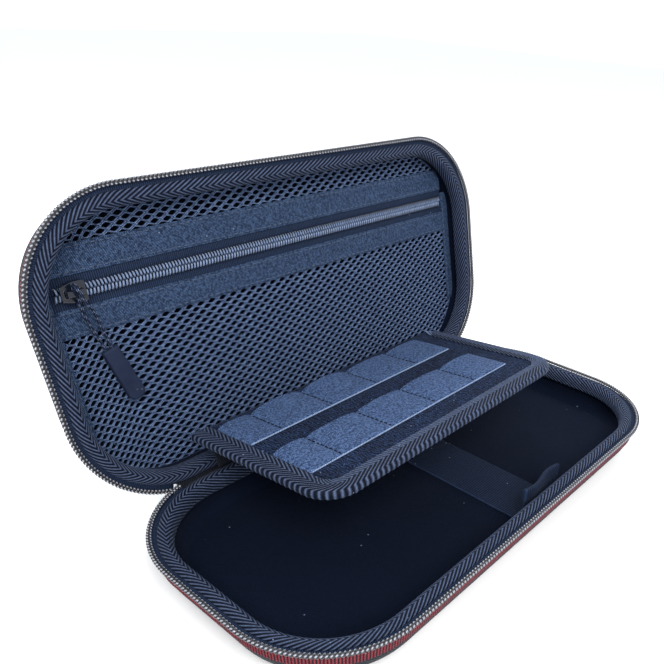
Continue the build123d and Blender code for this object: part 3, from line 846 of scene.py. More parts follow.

# %% [markdown]
# The main zip's teeth carry a painted highlight, nearly white, on each turn over the top, the
# pocket's a blue-grey one, and both zips have a dark core between the turns.

# %% Hard finishes
teeth_nylon = teeth_finish(
    "nylon_teeth", (0.0012, 0.0016, 0.0040), (0.40, 0.42, 0.50), highlights_a_turn=4.0, offset=-0.5
)
pocket_nylon = teeth_finish(
    "pocket_teeth", (0.0010, 0.0028, 0.0095), (0.15, 0.21, 0.35), highlights_a_turn=1.0, offset=-0.25
)
core_nylon = hard_finish(
    "coil_core", (0.0010, 0.0012, 0.0030), (0.0030, 0.0036, 0.0080), 0.55, 900.0, 0.03, coat=0.1
)
plated_metal = hard_finish(
    "black_enamel", (0.0022, 0.0036, 0.0090), (0.0060, 0.0090, 0.0190), 0.24, 700.0, 0.01,
    coat=0.35, lint=0.0, gloss=0.35,
)
grip_rubber = hard_finish(
    "slate_rubber", (0.0060, 0.0100, 0.0260), (0.0140, 0.0210, 0.0480), 0.60, 2600.0, 0.06,
    lint=0.06, gloss=0.12,
)
board_card = hard_finish(
    "stiff_board", (0.05, 0.05, 0.05), (0.09, 0.085, 0.08), 0.8, 1500.0, 0.05
)
print("hard finishes made")

# %% [markdown]
# The solids that have no new mesh take a finish directly: the shells, the main sliders and pulls,
# the grip and the board. The pocket's slider is close to the lens, so its sharp solid edges would
# show. A copy of it is rebuilt from small voxels and smoothed, which rounds every edge alike.


# %% Covered shell
def make_shell_finish():
    """Tough woven cloth, glued over a moulded shell."""
    material, tree, shader = new_finish("covered_shell", 0.72, 0.05)
    coords = tree.nodes.new("ShaderNodeTexCoord")
    turned = tree.nodes.new("ShaderNodeMapping")
    turned.inputs["Rotation"].default_value = (0.0, math.radians(45.0), math.radians(45.0))
    turned.inputs["Scale"].default_value = (1000.0, 1000.0, 1000.0)
    tree.links.new(coords.outputs["Object"], turned.inputs["Vector"])
    threads = place_group(
        tree, crossed_threads, Vector=turned.outputs[0],
        Rib_Pitch=1.1, Thread_Pitch=0.9, Slant=0.3, Unevenness=0.25,
    )
    slow = place_group(
        tree, colour_drift, Vector=coords.outputs["Object"], Scale=35.0, Strength=1.0
    )
    specks = place_group(
        tree, lint_specks, Vector=coords.outputs["Object"], Scale=420.0, Amount=0.08
    )
    # Painted shade: the darker colour goes in the gaps between the threads.
    weave_with_painted_shade = mix_colors(
        tree, threads.outputs["Shade"], (0.0045, 0.0058, 0.0090), (0.0360, 0.0430, 0.0560)
    )
    toned = mix_colors(
        tree, slow.outputs["Factor"], (0.0080, 0.0098, 0.0140), (0.0260, 0.0310, 0.0410)
    )
    blended = mix_colors(tree, 0.35, weave_with_painted_shade, toned)
    dusty = mix_colors(tree, specks.outputs["Mask"], blended, DUST)
    tree.links.new(dusty, shader.inputs["Base Color"])
    add_bump(tree, shader, threads.outputs["Height"], 0.12 * MM)
    return material


covered_shell = make_shell_finish()


def dress(node, material):
    """Give a solid from the frame a new finish."""
    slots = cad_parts[node].material_slots
    for place in slots:
        place.material = material
    if not slots:
        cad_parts[node].data.materials.append(material)


def cast_round(node, name, body, voxel, passes, material):
    """A copy of a solid with the rounded edges of a die casting; the solid stays as it is."""
    piece = new_piece(name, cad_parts[node].data.copy(), body)
    remesh = piece.modifiers.new("voxels", "REMESH")
    remesh.mode = "VOXEL"
    remesh.voxel_size = voxel * MM
    soften = piece.modifiers.new("soften", "SMOOTH")
    soften.iterations = passes
    graph = bpy.context.evaluated_depsgraph_get()
    piece.data = bpy.data.meshes.new_from_object(piece.evaluated_get(graph))
    piece.modifiers.clear()
    piece.data.shade_smooth()
    piece.data.materials.clear()
    piece.data.materials.append(material)
    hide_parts(node)
    return piece


slider = cast_round(
    "pocket_slider", "pocket_slider_body", "pocket_slider",
    voxel=0.22, passes=6, material=plated_metal,
)
print("slider", len(slider.data.polygons), "faces")

for node, material in (
    ("base_shell", covered_shell),
    ("lid_shell", covered_shell),
    ("main_slider_left", plated_metal),
    ("main_slider_right", plated_metal),
    ("main_pull_left", plated_metal),
    ("main_pull_right", plated_metal),
    ("pull_grip", grip_rubber),
    ("flap_board", board_card),
):
    dress(node, material)
print("solids dressed")

# %% [markdown]
# The cord's strands are dark with a pale tracer thread. Their UV map counts millimetres along and
# round each strand, so the twist is a slanted wave in that map.


# %% Cord finish
def make_cord_finish():
    """Twisted dark thread with pale tracers."""
    material, tree, shader = new_finish("twisted_cord", 0.6, 0.05)
    coords = tree.nodes.new("ShaderNodeTexCoord")
    stretched = tree.nodes.new("ShaderNodeMapping")
    stretched.inputs["Scale"].default_value = (0.25, 1.0, 1.0)
    tree.links.new(coords.outputs["UV"], stretched.inputs["Vector"])
    strands = place_group(
        tree, crossed_threads, Vector=stretched.outputs[0],
        Rib_Pitch=0.85, Thread_Pitch=0.66, Slant=0.6, Unevenness=0.2,
    )
    tracer = math_node(tree, "GREATER_THAN", strands.outputs["Height"], 0.9)
    # Painted shade: the strands turn near black in the grooves between them.
    strands_with_painted_shade = mix_colors(
        tree, strands.outputs["Shade"], (0.0010, 0.0028, 0.0090), (0.0420, 0.0640, 0.1350)
    )
    traced = mix_colors(tree, tracer, strands_with_painted_shade, (0.22, 0.28, 0.43))
    tree.links.new(traced, shader.inputs["Base Color"])
    add_bump(tree, shader, strands.outputs["Height"], 0.25 * MM)
    return material


cord.data.materials.append(make_cord_finish())
print("cord finished")

# %% [markdown]
# ## The ribbed bindings
# The rims wear a broad tape whose ribs meet in a line of arrowheads. On the real case it is woven
# so; a bump texture alone would look flat from the side. Here every rib is modelled: the section
# is the tape rolled over the rim, and the rows lean away from the middle line on both sides, so
# that each row of points runs along one rib and five rows make one rib.

# %% Bindings
RIB_ROWS, RIB_RISE = 5, 0.30
ARROW_LINE = 8
RIB_LEAN = 1.0 / math.tan(math.radians(27.0))


def running_width(section):
    """The distance round a section from its first point to each point."""
    section = np.asarray(section, float)
    steps = np.linalg.norm(np.diff(section, axis=0), axis=1)
    return np.concatenate([[0.0], np.cumsum(steps)])


def rim_binding_section(depth):
    """Over the rim from outside to inside, then back along the wall's channel."""
    top = depth - 0.7
    over = arc((6.1, top - 2.3), 2.3, 160.0, 90.0, 6)
    shoulder = arc((6.3, top - 3.7), 3.7, 90.0, 0.0, 10)
    leg = [(10.0, top - 4.7), (10.0, top - 5.8), (10.0, top - 6.8)]
    back = [(8.45, top - 6.8), (8.45, top - 1.5)]
    return over + shoulder + leg + back, len(over) + len(shoulder) + len(leg)


def rib_relief(pitch, width_shown, rise):
    """Round ribs with narrow gaps, which fade where the tape turns out of sight."""

    def relief(travel, width):
        ridge = 0.5 + 0.5 * np.cos(2 * math.pi * travel / pitch)
        fade = np.clip((width_shown - width) / 0.6, 0.0, 1.0)
        return rise * (ridge**0.7 - 0.75) * fade

    return relief


for half, board, depth, sense in (
    ("base", base_board, BASE_DEPTH, 1.0),
    ("lid", lid_board, LID_DEPTH, -1.0),
):
    section, shown = rim_binding_section(depth)
    width = running_width(section)
    middle = width[ARROW_LINE]
    lean = -sense * RIB_LEAN * np.abs(width - middle)
    lean[shown:] = lean[shown - 1]
    mesh = strip(
        f"{half}_rim_binding", board, rim_path, RIM_LENGTH, section, RIB_PITCH / RIB_ROWS,
        rib_relief(RIB_PITCH, width[shown - 1], RIB_RISE), closed=True, lean=lean,
    )
    mesh.materials.append(binding_cloth)
    piece = new_piece(f"{half}_rim_binding", mesh, half)
    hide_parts(f"{half}_binding")
    print(piece.name, len(mesh.polygons), "faces")

# %% [markdown]
# ## The zip teeth
# A coil zip is one nylon thread wound as a flattened helix and sewn to its tape. The helix could
# be a curve with a bevel, but then the thread would have one thickness. Rows of points let it
# swell at the outer turn, where the real coil is pressed into a head.

# %% Coil
TOOTH_PITCH = 1.75
COIL_TURN_ROWS, COIL_SIDES = 12, 7
SQUARENESS, HEAD_SWELL, THREAD_SQUASH = 0.8, 0.16, 0.92
coil_rows = COIL_TURN_ROWS


def coil(name, board, path, length, inset, width, low, high, pitch, thread, nylon, mirror=1.0):
    """A flattened helix along a path; inset is its middle and width its whole breadth."""
    turns = round(length / pitch)
    angle = np.linspace(0.0, 2 * math.pi * turns, turns * coil_rows + 1)
    reach, rise = width / 2 - thread, (high - low) / 2 - thread
    middle = (low + high) / 2
    travel = thread + (length - 2 * thread) * angle / angle[-1]
    cos, sin = np.cos(angle) * mirror, np.sin(angle)
    out = np.sign(cos) * np.abs(cos) ** SQUARENESS
    lift = np.sign(sin) * np.abs(sin) ** SQUARENESS
    line = np.stack([travel, inset + reach * out, middle + rise * lift], -1)
    heading = np.gradient(line, axis=0)
    heading /= np.linalg.norm(heading, axis=1)[:, None]
    outward = np.stack([np.zeros_like(angle), cos, sin], -1)
    outward -= heading * np.sum(outward * heading, 1)[:, None]
    outward /= np.linalg.norm(outward, axis=1)[:, None]
    sideways = np.cross(heading, outward)
    around = np.linspace(0.0, 2 * math.pi, COIL_SIDES, endpoint=False)
    radius = thread * (1.0 + HEAD_SWELL * np.clip(-out * mirror, 0.0, 1.0) ** 2)
    thick = radius[:, None, None]
    ring = (
        line[:, None, :]
        + thick * THREAD_SQUASH * np.cos(around)[None, :, None] * outward[:, None, :]
        + thick * np.sin(around)[None, :, None] * sideways[:, None, :]
    )
    x, y, nx, ny = path(ring[..., 0])
    points = board(x + nx * ring[..., 1], y + ny * ring[..., 1], ring[..., 2])
    u = np.linspace(0.0, turns * 3.0, len(angle) + 1)
    v = np.linspace(0.0, 2.0, COIL_SIDES + 1)
    mesh = grid_mesh(name, points, u, v)
    mesh.materials.append(nylon)
    return mesh


ZIP_START = 96.3
ZIP_RUN = RIM_LENGTH - 2 * ZIP_START


def zip_path(travel):
    """The part of the rim that has teeth, from one end of the spine round to the other."""
    return rim_path(np.asarray(travel) + ZIP_START)


for half, board, depth in (("base", base_board, BASE_DEPTH), ("lid", lid_board, LID_DEPTH)):
    mesh = coil(
        f"{half}_zip_teeth", board, zip_path, ZIP_RUN, 1.2, 2.4, depth - 2.3, depth - 0.3,
        TOOTH_PITCH, 0.58, teeth_nylon,
    )
    piece = new_piece(f"{half}_zip_teeth", mesh, half)
    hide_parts(f"{half}_zip_coil")
    core_section = rounded_slab(0.28, 2.1, depth - 1.9, depth - 0.75, 0.45, 5)
    mesh = strip(f"{half}_zip_core", board, zip_path, ZIP_RUN, core_section, 2.5)
    mesh.materials.append(core_nylon)
    core = new_piece(f"{half}_zip_core", mesh, half)
    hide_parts(f"{half}_zip_coil")
    print(piece.name, round(ZIP_RUN / TOOTH_PITCH), "teeth")

# %% [markdown]
# ## Zip tapes, trim bands and the cloth spine
# These are plainer strips. The tape is a thin woven strip under the teeth. The trim is the
# red-brown band that shows outside, whose slanted ribs are modelled as on the bindings. The spine
# is the canvas that joins the halves at the back, with a leaf on the lid's side.


# %% Tapes, trims and spines
def slow_waves(rise, length):
    """The small waves that a sewn strip keeps."""

    def relief(travel, width):
        first = np.sin(2 * math.pi * travel / length + 0.9 * width)
        second = np.sin(2 * math.pi * travel / (0.37 * length) + 1.7)
        return rise * (0.6 * first + 0.4 * second) + 0.0 * width

    return relief


SPINE_HALF, SPINE_DROP = 94.0, 10.5
RIM_DROP, TAPE_THICK = 3.0, 0.7


def spine_path(travel):
    """The part of the rim behind the hinge."""
    return rim_path(np.asarray(travel) - SPINE_HALF)


TRIM_PITCH, TRIM_DROP, TRIM_LEAN = 1.3, 6.0, 0.9
for half, board, depth in (("base", base_board, BASE_DEPTH), ("lid", lid_board, LID_DEPTH)):
    wall = depth - RIM_DROP
    mesh = strip(
        f"{half}_zip_tape_cloth", board, zip_path, ZIP_RUN,
        rounded_slab(1.3, 6.3, wall, wall + TAPE_THICK, 0.3), 2.0, slow_waves(0.04, 23.0),
    )
    mesh.materials.append(tape_cloth)
    piece = new_piece(f"{half}_zip_tape_cloth", mesh, half)
    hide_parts(f"{half}_zip_tape")

    drop = TRIM_DROP * WALL_LEAN
    face = np.linspace(0.0, 1.0, 9)
    outside = [(2.15 + drop * share, wall - TRIM_DROP * share) for share in face]
    inside = [(2.92 + drop, wall - TRIM_DROP), (2.92, wall)]
    section = outside + inside
    width = running_width(section)
    lean = TRIM_LEAN * width
    lean[len(outside):] = lean[len(outside) - 1]
    mesh = strip(
        f"{half}_trim_cloth", board, zip_path, ZIP_RUN, section, TRIM_PITCH / 4,
        rib_relief(TRIM_PITCH, width[len(outside) - 1], 0.22), lean=lean,
    )
    mesh.materials.append(trim_cloth)
    piece = new_piece(f"{half}_trim_cloth", mesh, half)
    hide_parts(f"{half}_trim_band")

    fall = SPINE_DROP * WALL_LEAN
    shares = np.linspace(0.0, 1.0, 8)
    outer = [(2.25 + fall * share, wall - SPINE_DROP * share) for share in shares]
    inner = [(2.95 + fall, wall - SPINE_DROP), (2.95, wall), (6.3, wall), (6.3, wall + TAPE_THICK)]
    if half == "base":
        section = [(2.25, wall + TAPE_THICK)] + outer + inner
    else:
        leaf_top = wall + 6.0
        leaf_out = [(1.25, z) for z in np.linspace(leaf_top, wall, 5)]
        leaf_in = [(1.95, wall + TAPE_THICK), (1.95, leaf_top)]
        section = leaf_out + outer + inner + leaf_in
    mesh = strip(
        f"{half}_spine_cloth", board, spine_path, 2 * SPINE_HALF, section, 1.5,
        slow_waves(0.05, 31.0),
    )
    mesh.materials.append(spine_cloth)
    piece = new_piece(f"{half}_spine_cloth", mesh, half)
    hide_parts(f"{half}_spine_strip")
    print(half, "tape, trim and spine")

# %% [markdown]
# ## The linings
# A thin brushed cloth is glued inside each shell. Its wall leans with the shell and turns into
# the floor by a small radius. The wall is drawn as rings. The floor can't be, because rings that
# shrink past the corner radius cross each other, so it is a grid that is kept inside the outline.

# %% Linings
LINING_SKIN = 7.72
FLOOR_LEVEL, FLOOR_ROUND = 4.72, 5.2


def keep_rounded(x, y, half_x, half_y, corner):
    """Bring points outside a rounded rectangle back to its edge, and tell how far out they were."""
    cx = np.clip(x, corner - half_x, half_x - corner)
    cy = np.clip(y, corner - half_y, half_y - corner)
    dx, dy = x - cx, y - cy
    far = np.hypot(dx, dy)
    scale = np.where(far > corner, corner / np.maximum(far, 1e-6), 1.0)
    return cx + dx * scale, cy + dy * scale, far


def dimples(x, y):
    """Glued cloth is never as flat as the foam under it."""
    return 0.05 * np.sin(x / 6.1 + y / 9.0) * np.sin(y / 5.3 - x / 14.0)


def lining_wall(name, board, depth):
    """From under the binding down the leaning wall and round the corner to the floor."""
    wall_top = depth - RIM_DROP
    turn_start = FLOOR_LEVEL + FLOOR_ROUND
    heights = np.linspace(wall_top, turn_start, 6)
    wall = [(LINING_SKIN + WALL_LEAN * (wall_top - z), z) for z in heights]
    foot = wall[-1][0] + FLOOR_ROUND
    turn = arc((foot, turn_start), FLOOR_ROUND, 180.0, 270.0, 9)[1:]
    section = np.array(wall + turn)
    count = 350
    travel = np.arange(count)[:, None] * RIM_LENGTH / count + 0.0 * section[None, :, 0]
    x, y, nx, ny = rim_path(travel)
    points = board(x + nx * section[:, 0], y + ny * section[:, 0], section[:, 1] + 0.0 * x)
    u = np.arange(count + 1) * RIM_LENGTH / count
    return grid_mesh(name, points, u, running_width(section), True, False), foot


def lining_floor(name, board, foot):
    """The flat of the lining, kept inside the line where the wall's turn ends."""
    half_x, half_y, corner = HALF_LENGTH - foot, HALF_WIDTH - foot, CORNER - foot
    across, down = np.linspace(-half_x, half_x, 121), np.linspace(-half_y, half_y, 61)
    x, y = np.meshgrid(across, down, indexing="ij")
    x, y, far = keep_rounded(x, y, half_x, half_y, corner)
    rise = dimples(x, y) * (far < corner - 1.0)
    points = board(x, y, FLOOR_LEVEL + rise)
    return grid_mesh(name, points, across, down, False, False)


for half, board, depth in (("base", base_board, BASE_DEPTH), ("lid", lid_board, LID_DEPTH)):
    mesh, foot = lining_wall(f"{half}_lining_wall", board, depth)
    mesh.materials.append(lining_cloth)
    wall_piece = new_piece(f"{half}_lining_wall", mesh, half)
    mesh = lining_floor(f"{half}_lining_floor", board, foot)
    mesh.materials.append(lining_cloth)
    floor_piece = new_piece(f"{half}_lining_floor", mesh, half)
    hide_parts(f"{half}_lining")
    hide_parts(f"{half}_lining")
    print(half, "lining, floor starts", round(foot, 1), "mm in")

# %% [markdown]
# ## The mesh pocket
# The pocket is a warp-knit net: rows of lozenge holes, each row shifted by half a hole, between
# strands that swell where they meet. A transparency mask is the quick way, but the strands would
# have no thickness and no shadow on the lining behind. So each hole is modelled. One lozenge cell
# has an outer edge that it shares with its neighbours, a crown and an inner edge round the hole.

# %% Net
PANEL_INSET = 8.72
PANEL_X, PANEL_Y = HALF_LENGTH - PANEL_INSET, HALF_WIDTH - PANEL_INSET
PANEL_CORNER = CORNER - PANEL_INSET
CELL_X, CELL_Y = 5.8, 3.74
HOLE_REACH, HOLE_RISE, HOLE_TILT, HOLE_POINT = 1.80, 0.92, 0.16, 1.35
SQUEEZE_FROM, SQUEEZE, SQUEEZE_SLANT = -95.0, 0.74, 0.22
HOLE_SIDES = 12
LEVELS = [(0.0, 0.0), (0.35, 0.30), (0.75, 0.12), (1.0, -0.25), (0.78, -0.62), (0.2, -0.72)]
# UV counts per level: they put a painted highlight on each crown and painted shade at the cell's
# edge and inside the hole.
PAINTED_LIGHT_PHASES = [0.52, 0.86, 1.06, 1.36, 1.50, 1.50]


def net_centers(low, high):
    """The middles of the holes, each row shifted by half a hole."""
    cells = []
    row_count = int(PANEL_Y * 4 / CELL_Y)
    columns = int(PANEL_X / CELL_X / SQUEEZE) + 2
    for row in range(-row_count, row_count + 1):
        cy = row * CELL_Y / 2
        if low - CELL_Y / 2 < cy < high + CELL_Y / 2:
            shift = CELL_X / 2 if row % 2 else 0.0
            cells += [(column * CELL_X + shift, cy) for column in range(-columns, columns + 1)]
    return np.array(cells)


def net_height(x, y):
    """The slack of the net: small waves, most of them near the left and lower edges."""
    left = np.exp(-((x + PANEL_X) / 26.0) ** 2)
    low = np.exp(-((y + PANEL_Y) / 14.0) ** 2)
    waves = np.sin(x / 8.5 + y / 13.0) * 0.35 + np.sin(x / 19.0 - y / 7.0 + 1.3) * 0.3
    return waves * (0.25 + 0.9 * np.maximum(left, low))


def net_mesh(name, low, high):
    """A stretch of the net between two heights on the lid."""
    centers = net_centers(low, high)
    angle = np.linspace(0.0, 2 * math.pi, HOLE_SIDES, endpoint=False)
    cos, sin = np.cos(angle), np.sin(angle)
    diamond = 1.0 / (np.abs(cos) + np.abs(sin))
    rim_x, rim_y = CELL_X / 2 * diamond * cos, CELL_Y / 2 * diamond * sin
    spread = np.abs(cos) ** HOLE_POINT + np.abs(sin) ** HOLE_POINT
    soft = 1.0 / spread ** (1 / HOLE_POINT)
    hole_x, hole_y = HOLE_REACH * soft * cos, HOLE_RISE * soft * sin
    hole_y = hole_y + HOLE_TILT * hole_x
    rings = []
    for toward_hole, rise in LEVELS:
        ring_x = centers[:, :1] + rim_x + (hole_x - rim_x) * toward_hole
        ring_y = centers[:, 1:] + rim_y + (hole_y - rim_y) * toward_hole
        rings.append(np.stack([ring_x, ring_y, np.full_like(ring_x, rise)], -1))
    points = np.stack(rings, 1)
    squeezed = SQUEEZE_FROM + (points[..., 0] - SQUEEZE_FROM) * SQUEEZE
    x = np.where(points[..., 0] < SQUEEZE_FROM, squeezed, points[..., 0])
    y = points[..., 1] + np.where(x < SQUEEZE_FROM, SQUEEZE_SLANT * (x - SQUEEZE_FROM), 0.0)
    y = np.clip(y, low, high)
    x, y, far = keep_rounded(x, y, PANEL_X, PANEL_Y, PANEL_CORNER)
    used = far[:, 0].min(1) < PANEL_CORNER - 0.2
    used &= (y[:, 3].max(1) - y[:, 3].min(1)) > 0.4
    x, y, rise = x[used], y[used], points[used][..., 2]
    height = MESH_TOP - 0.45 + rise + np.clip(net_height(x, y), -0.5, 0.45)
    flat = pocket_board(x, y, height).reshape(-1, 3)
    faces, corners = [], []
    turn = 2 * math.pi / HOLE_SIDES
    # Painted highlight and shade: the UV's first count gives the net a bright crown and dark
    # hollows, and the shift makes the lozenge's ends differ from its sides.
    for level in range(len(LEVELS) - 1):
        for k in range(HOLE_SIDES):
            after = (k + 1) % HOLE_SIDES
            a = level * HOLE_SIDES
            faces.append((a + k, a + after, a + HOLE_SIDES + after, a + HOLE_SIDES + k))
            for n, s in ((level, k), (level, k + 1), (level + 1, k + 1), (level + 1, k)):
                painted_light_shift = 0.24 * math.cos(s * turn) ** 2
                corners.append((PAINTED_LIGHT_PHASES[n] + painted_light_shift, 1.7 * s * turn))
    base = np.arange(len(x))[:, None, None] * len(LEVELS) * HOLE_SIDES
    every = (np.array(faces)[None] + base).reshape(-1, 4)
    mesh = bpy.data.meshes.new(name)
    mesh.from_pydata(flat.tolist(), [], every.tolist())
    layer = mesh.uv_layers.new(name="ribs_and_width")
    uv = np.tile(np.array(corners), (len(x), 1))
    layer.data.foreach_set("uv", uv.astype(np.float32).reshape(-1))
    mesh.shade_smooth()
    mesh.materials.append(net_cloth)
    print(name, int(used.sum()), "holes,", len(every), "faces")
    return mesh


print("net helpers ready")

# %% [markdown]
# The net is stretched over the lid's lining in two pieces, one on each side of the pocket's zip.
# Its cloth covers a little less than its flat size, since the holes count as no cloth.

# %% Nets
UPPER_BAND = (33.6, 45.1)
LOWER_BAND = (10.4, 21.4)
for name, low, high in (
    ("pocket_mesh_lower", -PANEL_Y, LOWER_BAND[0] + 1.0),
    ("pocket_mesh_upper", UPPER_BAND[1] - 1.0, PANEL_Y),
):
    mesh = net_mesh(name.replace("mesh", "net"), low, high)
    piece = new_piece(name.replace("mesh", "net"), mesh, "lid")
    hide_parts(name)

# %% [markdown]
# ## Webbing, stitches and the pocket's zip
# Two woven bands hide the seam between the net and the pocket's zip, and two end strips close it.
# Their cross ribs are modelled. The stitches are small sunk lozenges of thread in rows, each one
# its own solid, which catch the light as sewing does.


# %% Stitches
def stitch_row(name, board, starts, ends, heights, thick=0.34, length=2.3, gap=0.9):
    """Rows of stitches from each start to each end, in board millimetres."""
    sides, rings = 6, 5
    lengthwise = np.linspace(-1.0, 1.0, rings)
    girth = np.sqrt(np.clip(1.0 - 0.92 * lengthwise**2, 0.0, 1.0))
    around = np.linspace(0.0, 2 * math.pi, sides, endpoint=False)
    points, faces, uvs = [], [], []
    for start, end, height in zip(starts, ends, heights):
        start, end = np.array(start, float), np.array(end, float)
        run = np.linalg.norm(end - start)
        heading = (end - start) / run
        aside = np.array([-heading[1], heading[0]])
        count = max(1, int(run / (length + gap)))
        for k in range(count):
            middle = start + heading * (k + 0.5) * run / count
            first = len(points)
            for t, g in zip(lengthwise, girth):
                for a in around:
                    spot = middle + heading * t * length / 2 + aside * thick * g * math.cos(a)
                    points.append((spot[0], spot[1], height + 0.75 * thick * g * math.sin(a)))
                    uvs.append((t * length / 2, a * thick))
            for r in range(rings - 1):
                for s in range(sides):
                    a, b = first + r * sides + s, first + r * sides + (s + 1) % sides
                    faces.append((a, b, b + sides, a + sides))
            faces.append(tuple(range(first, first + sides)))
            last = first + (rings - 1) * sides
            faces.append(tuple(range(last + sides - 1, last - 1, -1)))
    spots = np.array(points)
    flat = board(spots[:, 0], spots[:, 1], spots[:, 2])
    mesh = bpy.data.meshes.new(name)
    mesh.from_pydata(flat.tolist(), [], faces)
    layer = mesh.uv_layers.new(name="ribs_and_width")
    loops = np.concatenate([np.array(face) for face in faces])
    layer.data.foreach_set("uv", np.array(uvs)[loops].astype(np.float32).reshape(-1))
    mesh.shade_smooth()
    mesh.materials.append(stitch_thread)
    return mesh


STRIP_HALF = 116.3
BAND_TOP = MESH_TOP + 0.7
BAND_PITCH, BAND_RISE, BAND_STEP = 0.96, 0.06, 0.32


def cross_ribs(pitch, rise):
    """Ribs square to the strip, all the way across it."""

    def relief(travel, width):
        return rise * (0.5 + 0.5 * np.cos(2 * math.pi * travel / pitch)) + 0.0 * width

    return relief


across_lid = straight_path(-STRIP_HALF, 0.0)
for name, (low, high) in (("upper", UPPER_BAND), ("lower", LOWER_BAND)):
    section = rounded_slab(low, high, MESH_TOP, BAND_TOP - 0.12, 0.3, 8)
    mesh = strip(
        f"pocket_webbing_{name}", pocket_board, across_lid, 2 * STRIP_HALF, section, BAND_STEP,
        cross_ribs(BAND_PITCH, BAND_RISE),
    )
    mesh.materials.append(band_cloth)
    piece = new_piece(f"pocket_webbing_{name}", mesh, "lid")
    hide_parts(f"pocket_band_{name}")
    rows = [low + 1.3, high - 1.3]
    mesh = stitch_row(
        f"pocket_stitches_{name}", pocket_board,
        [(-STRIP_HALF + 1.0, y) for y in rows], [(STRIP_HALF - 1.0, y) for y in rows],
        [BAND_TOP + 0.02] * 2,
    )
    new_piece(f"pocket_stitches_{name}", mesh, "lid")
    print(name, "webbing")

TAPE_REACH = 9.5
for name, side in (("upper", 1.0), ("lower", -1.0)):
    near, far = sorted((ZIP_LINE + side * 0.05, ZIP_LINE + side * TAPE_REACH))
    mesh = strip(
        f"pocket_zip_tape_{name}", pocket_board, across_lid, 2 * STRIP_HALF,
        rounded_slab(near, far, MESH_TOP - 0.5, MESH_TOP, 0.2, 10), 1.6, slow_waves(0.03, 17.0),
    )
    mesh.materials.append(tape_cloth)
    piece = new_piece(f"pocket_zip_tape_{name}", mesh, "lid")
    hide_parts(f"pocket_tape_{name}")
    coil_start = -115.3 + 0.37 * (1 + side)
    mesh = coil(
        f"pocket_teeth_{name}", pocket_board, straight_path(coil_start, 0.0), 229.8,
        ZIP_LINE + side * 1.36, 3.16, MESH_TOP, MESH_TOP + 1.95, 1.5, 0.44, pocket_nylon,
        mirror=side,
    )
    piece = new_piece(f"pocket_teeth_{name}", mesh, "lid")
    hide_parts(f"pocket_coil_{name}")
print("pocket zip")

# %% [markdown]
# The end strips run up the lid beside the zip's ends, so they need a path of their own. They have
# the webbing's ribs and one row of stitches each.


# %% End strips
def upright_path(start, level):
    """A path up the lid at one x, whose inward direction is x."""

    def path(travel):
        travel = np.asarray(travel, float)
        return np.full_like(travel, level), start + travel, np.ones_like(travel), 0.0 * travel

    return path


for name, side in (("left", -1.0), ("right", 1.0)):
    near, far = sorted((side * (STRIP_HALF + 0.05), side * (PANEL_X - 0.1)))
    mesh = strip(
        f"pocket_end_{name}", pocket_board, upright_path(-31.9, 0.0), 63.8,
        rounded_slab(near, far, MESH_TOP, BAND_TOP - 0.12, 0.3, 8), BAND_STEP,
        cross_ribs(BAND_PITCH, BAND_RISE),
    )
    mesh.materials.append(band_cloth)
    piece = new_piece(f"pocket_end_{name}", mesh, "lid")
    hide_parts(f"pocket_end_strip_{name}")
    x = side * (STRIP_HALF + 1.2)
    mesh = stitch_row(
        f"pocket_end_stitches_{name}", pocket_board, [(x, -30.5)], [(x, 30.5)], [BAND_TOP + 0.02]
    )
    new_piece(f"pocket_end_stitches_{name}", mesh, "lid")
print("end strips")

# %% [markdown]
# ## The card flap
# The flap is a stiff board in velvet above and soft cloth below, with the same ribbed tape round
# its free edges. The tape is a section like the letter C that grips both faces. It could be bent
# from the rim's tape, but its own section keeps the two faces the right distance apart.

# %% Flap binding
FLAP_TAPE, FLAP_THICK, FLAP_ROUND = 9.0, 2.2, 1.9


def flap_binding_section():
    """Over the flap's free edge like a letter C, with the slot that the board fills."""
    top_inner = [(FLAP_TAPE, 1.74), (FLAP_TAPE - 0.1, FLAP_THICK - 0.12)]
    top = [(x, FLAP_THICK) for x in np.linspace(FLAP_TAPE - 0.5, FLAP_ROUND + 0.4, 9)]
    edge = arc((FLAP_ROUND, FLAP_THICK - FLAP_ROUND), FLAP_ROUND, 90.0, 180.0, 6)
    edge += arc((FLAP_ROUND, FLAP_ROUND - FLAP_THICK), FLAP_ROUND, 180.0, 270.0, 6)
    bottom = [(x, -y) for x, y in reversed(top)] + [(x, -y) for x, y in reversed(top_inner)]
    slot = [(3.0, -1.66), (3.0, 1.66)]
    return top_inner + top + edge + bottom + slot


section = flap_binding_section()
width = running_width(section)
shown = len(section) - 2
FLAP_ARROW_LINE, FLAP_UNDER_EDGE = 6, 13
middle = width[FLAP_ARROW_LINE]
lean = -RIB_LEAN * np.abs(width - middle)
lean[width > width[FLAP_UNDER_EDGE]] = lean[FLAP_UNDER_EDGE]
lean[shown:] = lean[shown - 1]
flap_pitch = FLAP_EDGE / round(FLAP_EDGE / RIB_GOAL)
mesh = strip(
    "flap_edge_binding", flap_board, flap_path, FLAP_EDGE, section, flap_pitch / RIB_ROWS,
    rib_relief(flap_pitch, width[shown - 1], 0.28), lean=lean,
)
mesh.materials.append(binding_cloth)
piece = new_piece("flap_edge_binding", mesh, "flap")
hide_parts("flap_binding")
print(piece.name, len(mesh.polygons), "faces")

# %% [markdown]
# The velvet and the underside are slabs with a fine uneven nap, so that light breaks up on them.


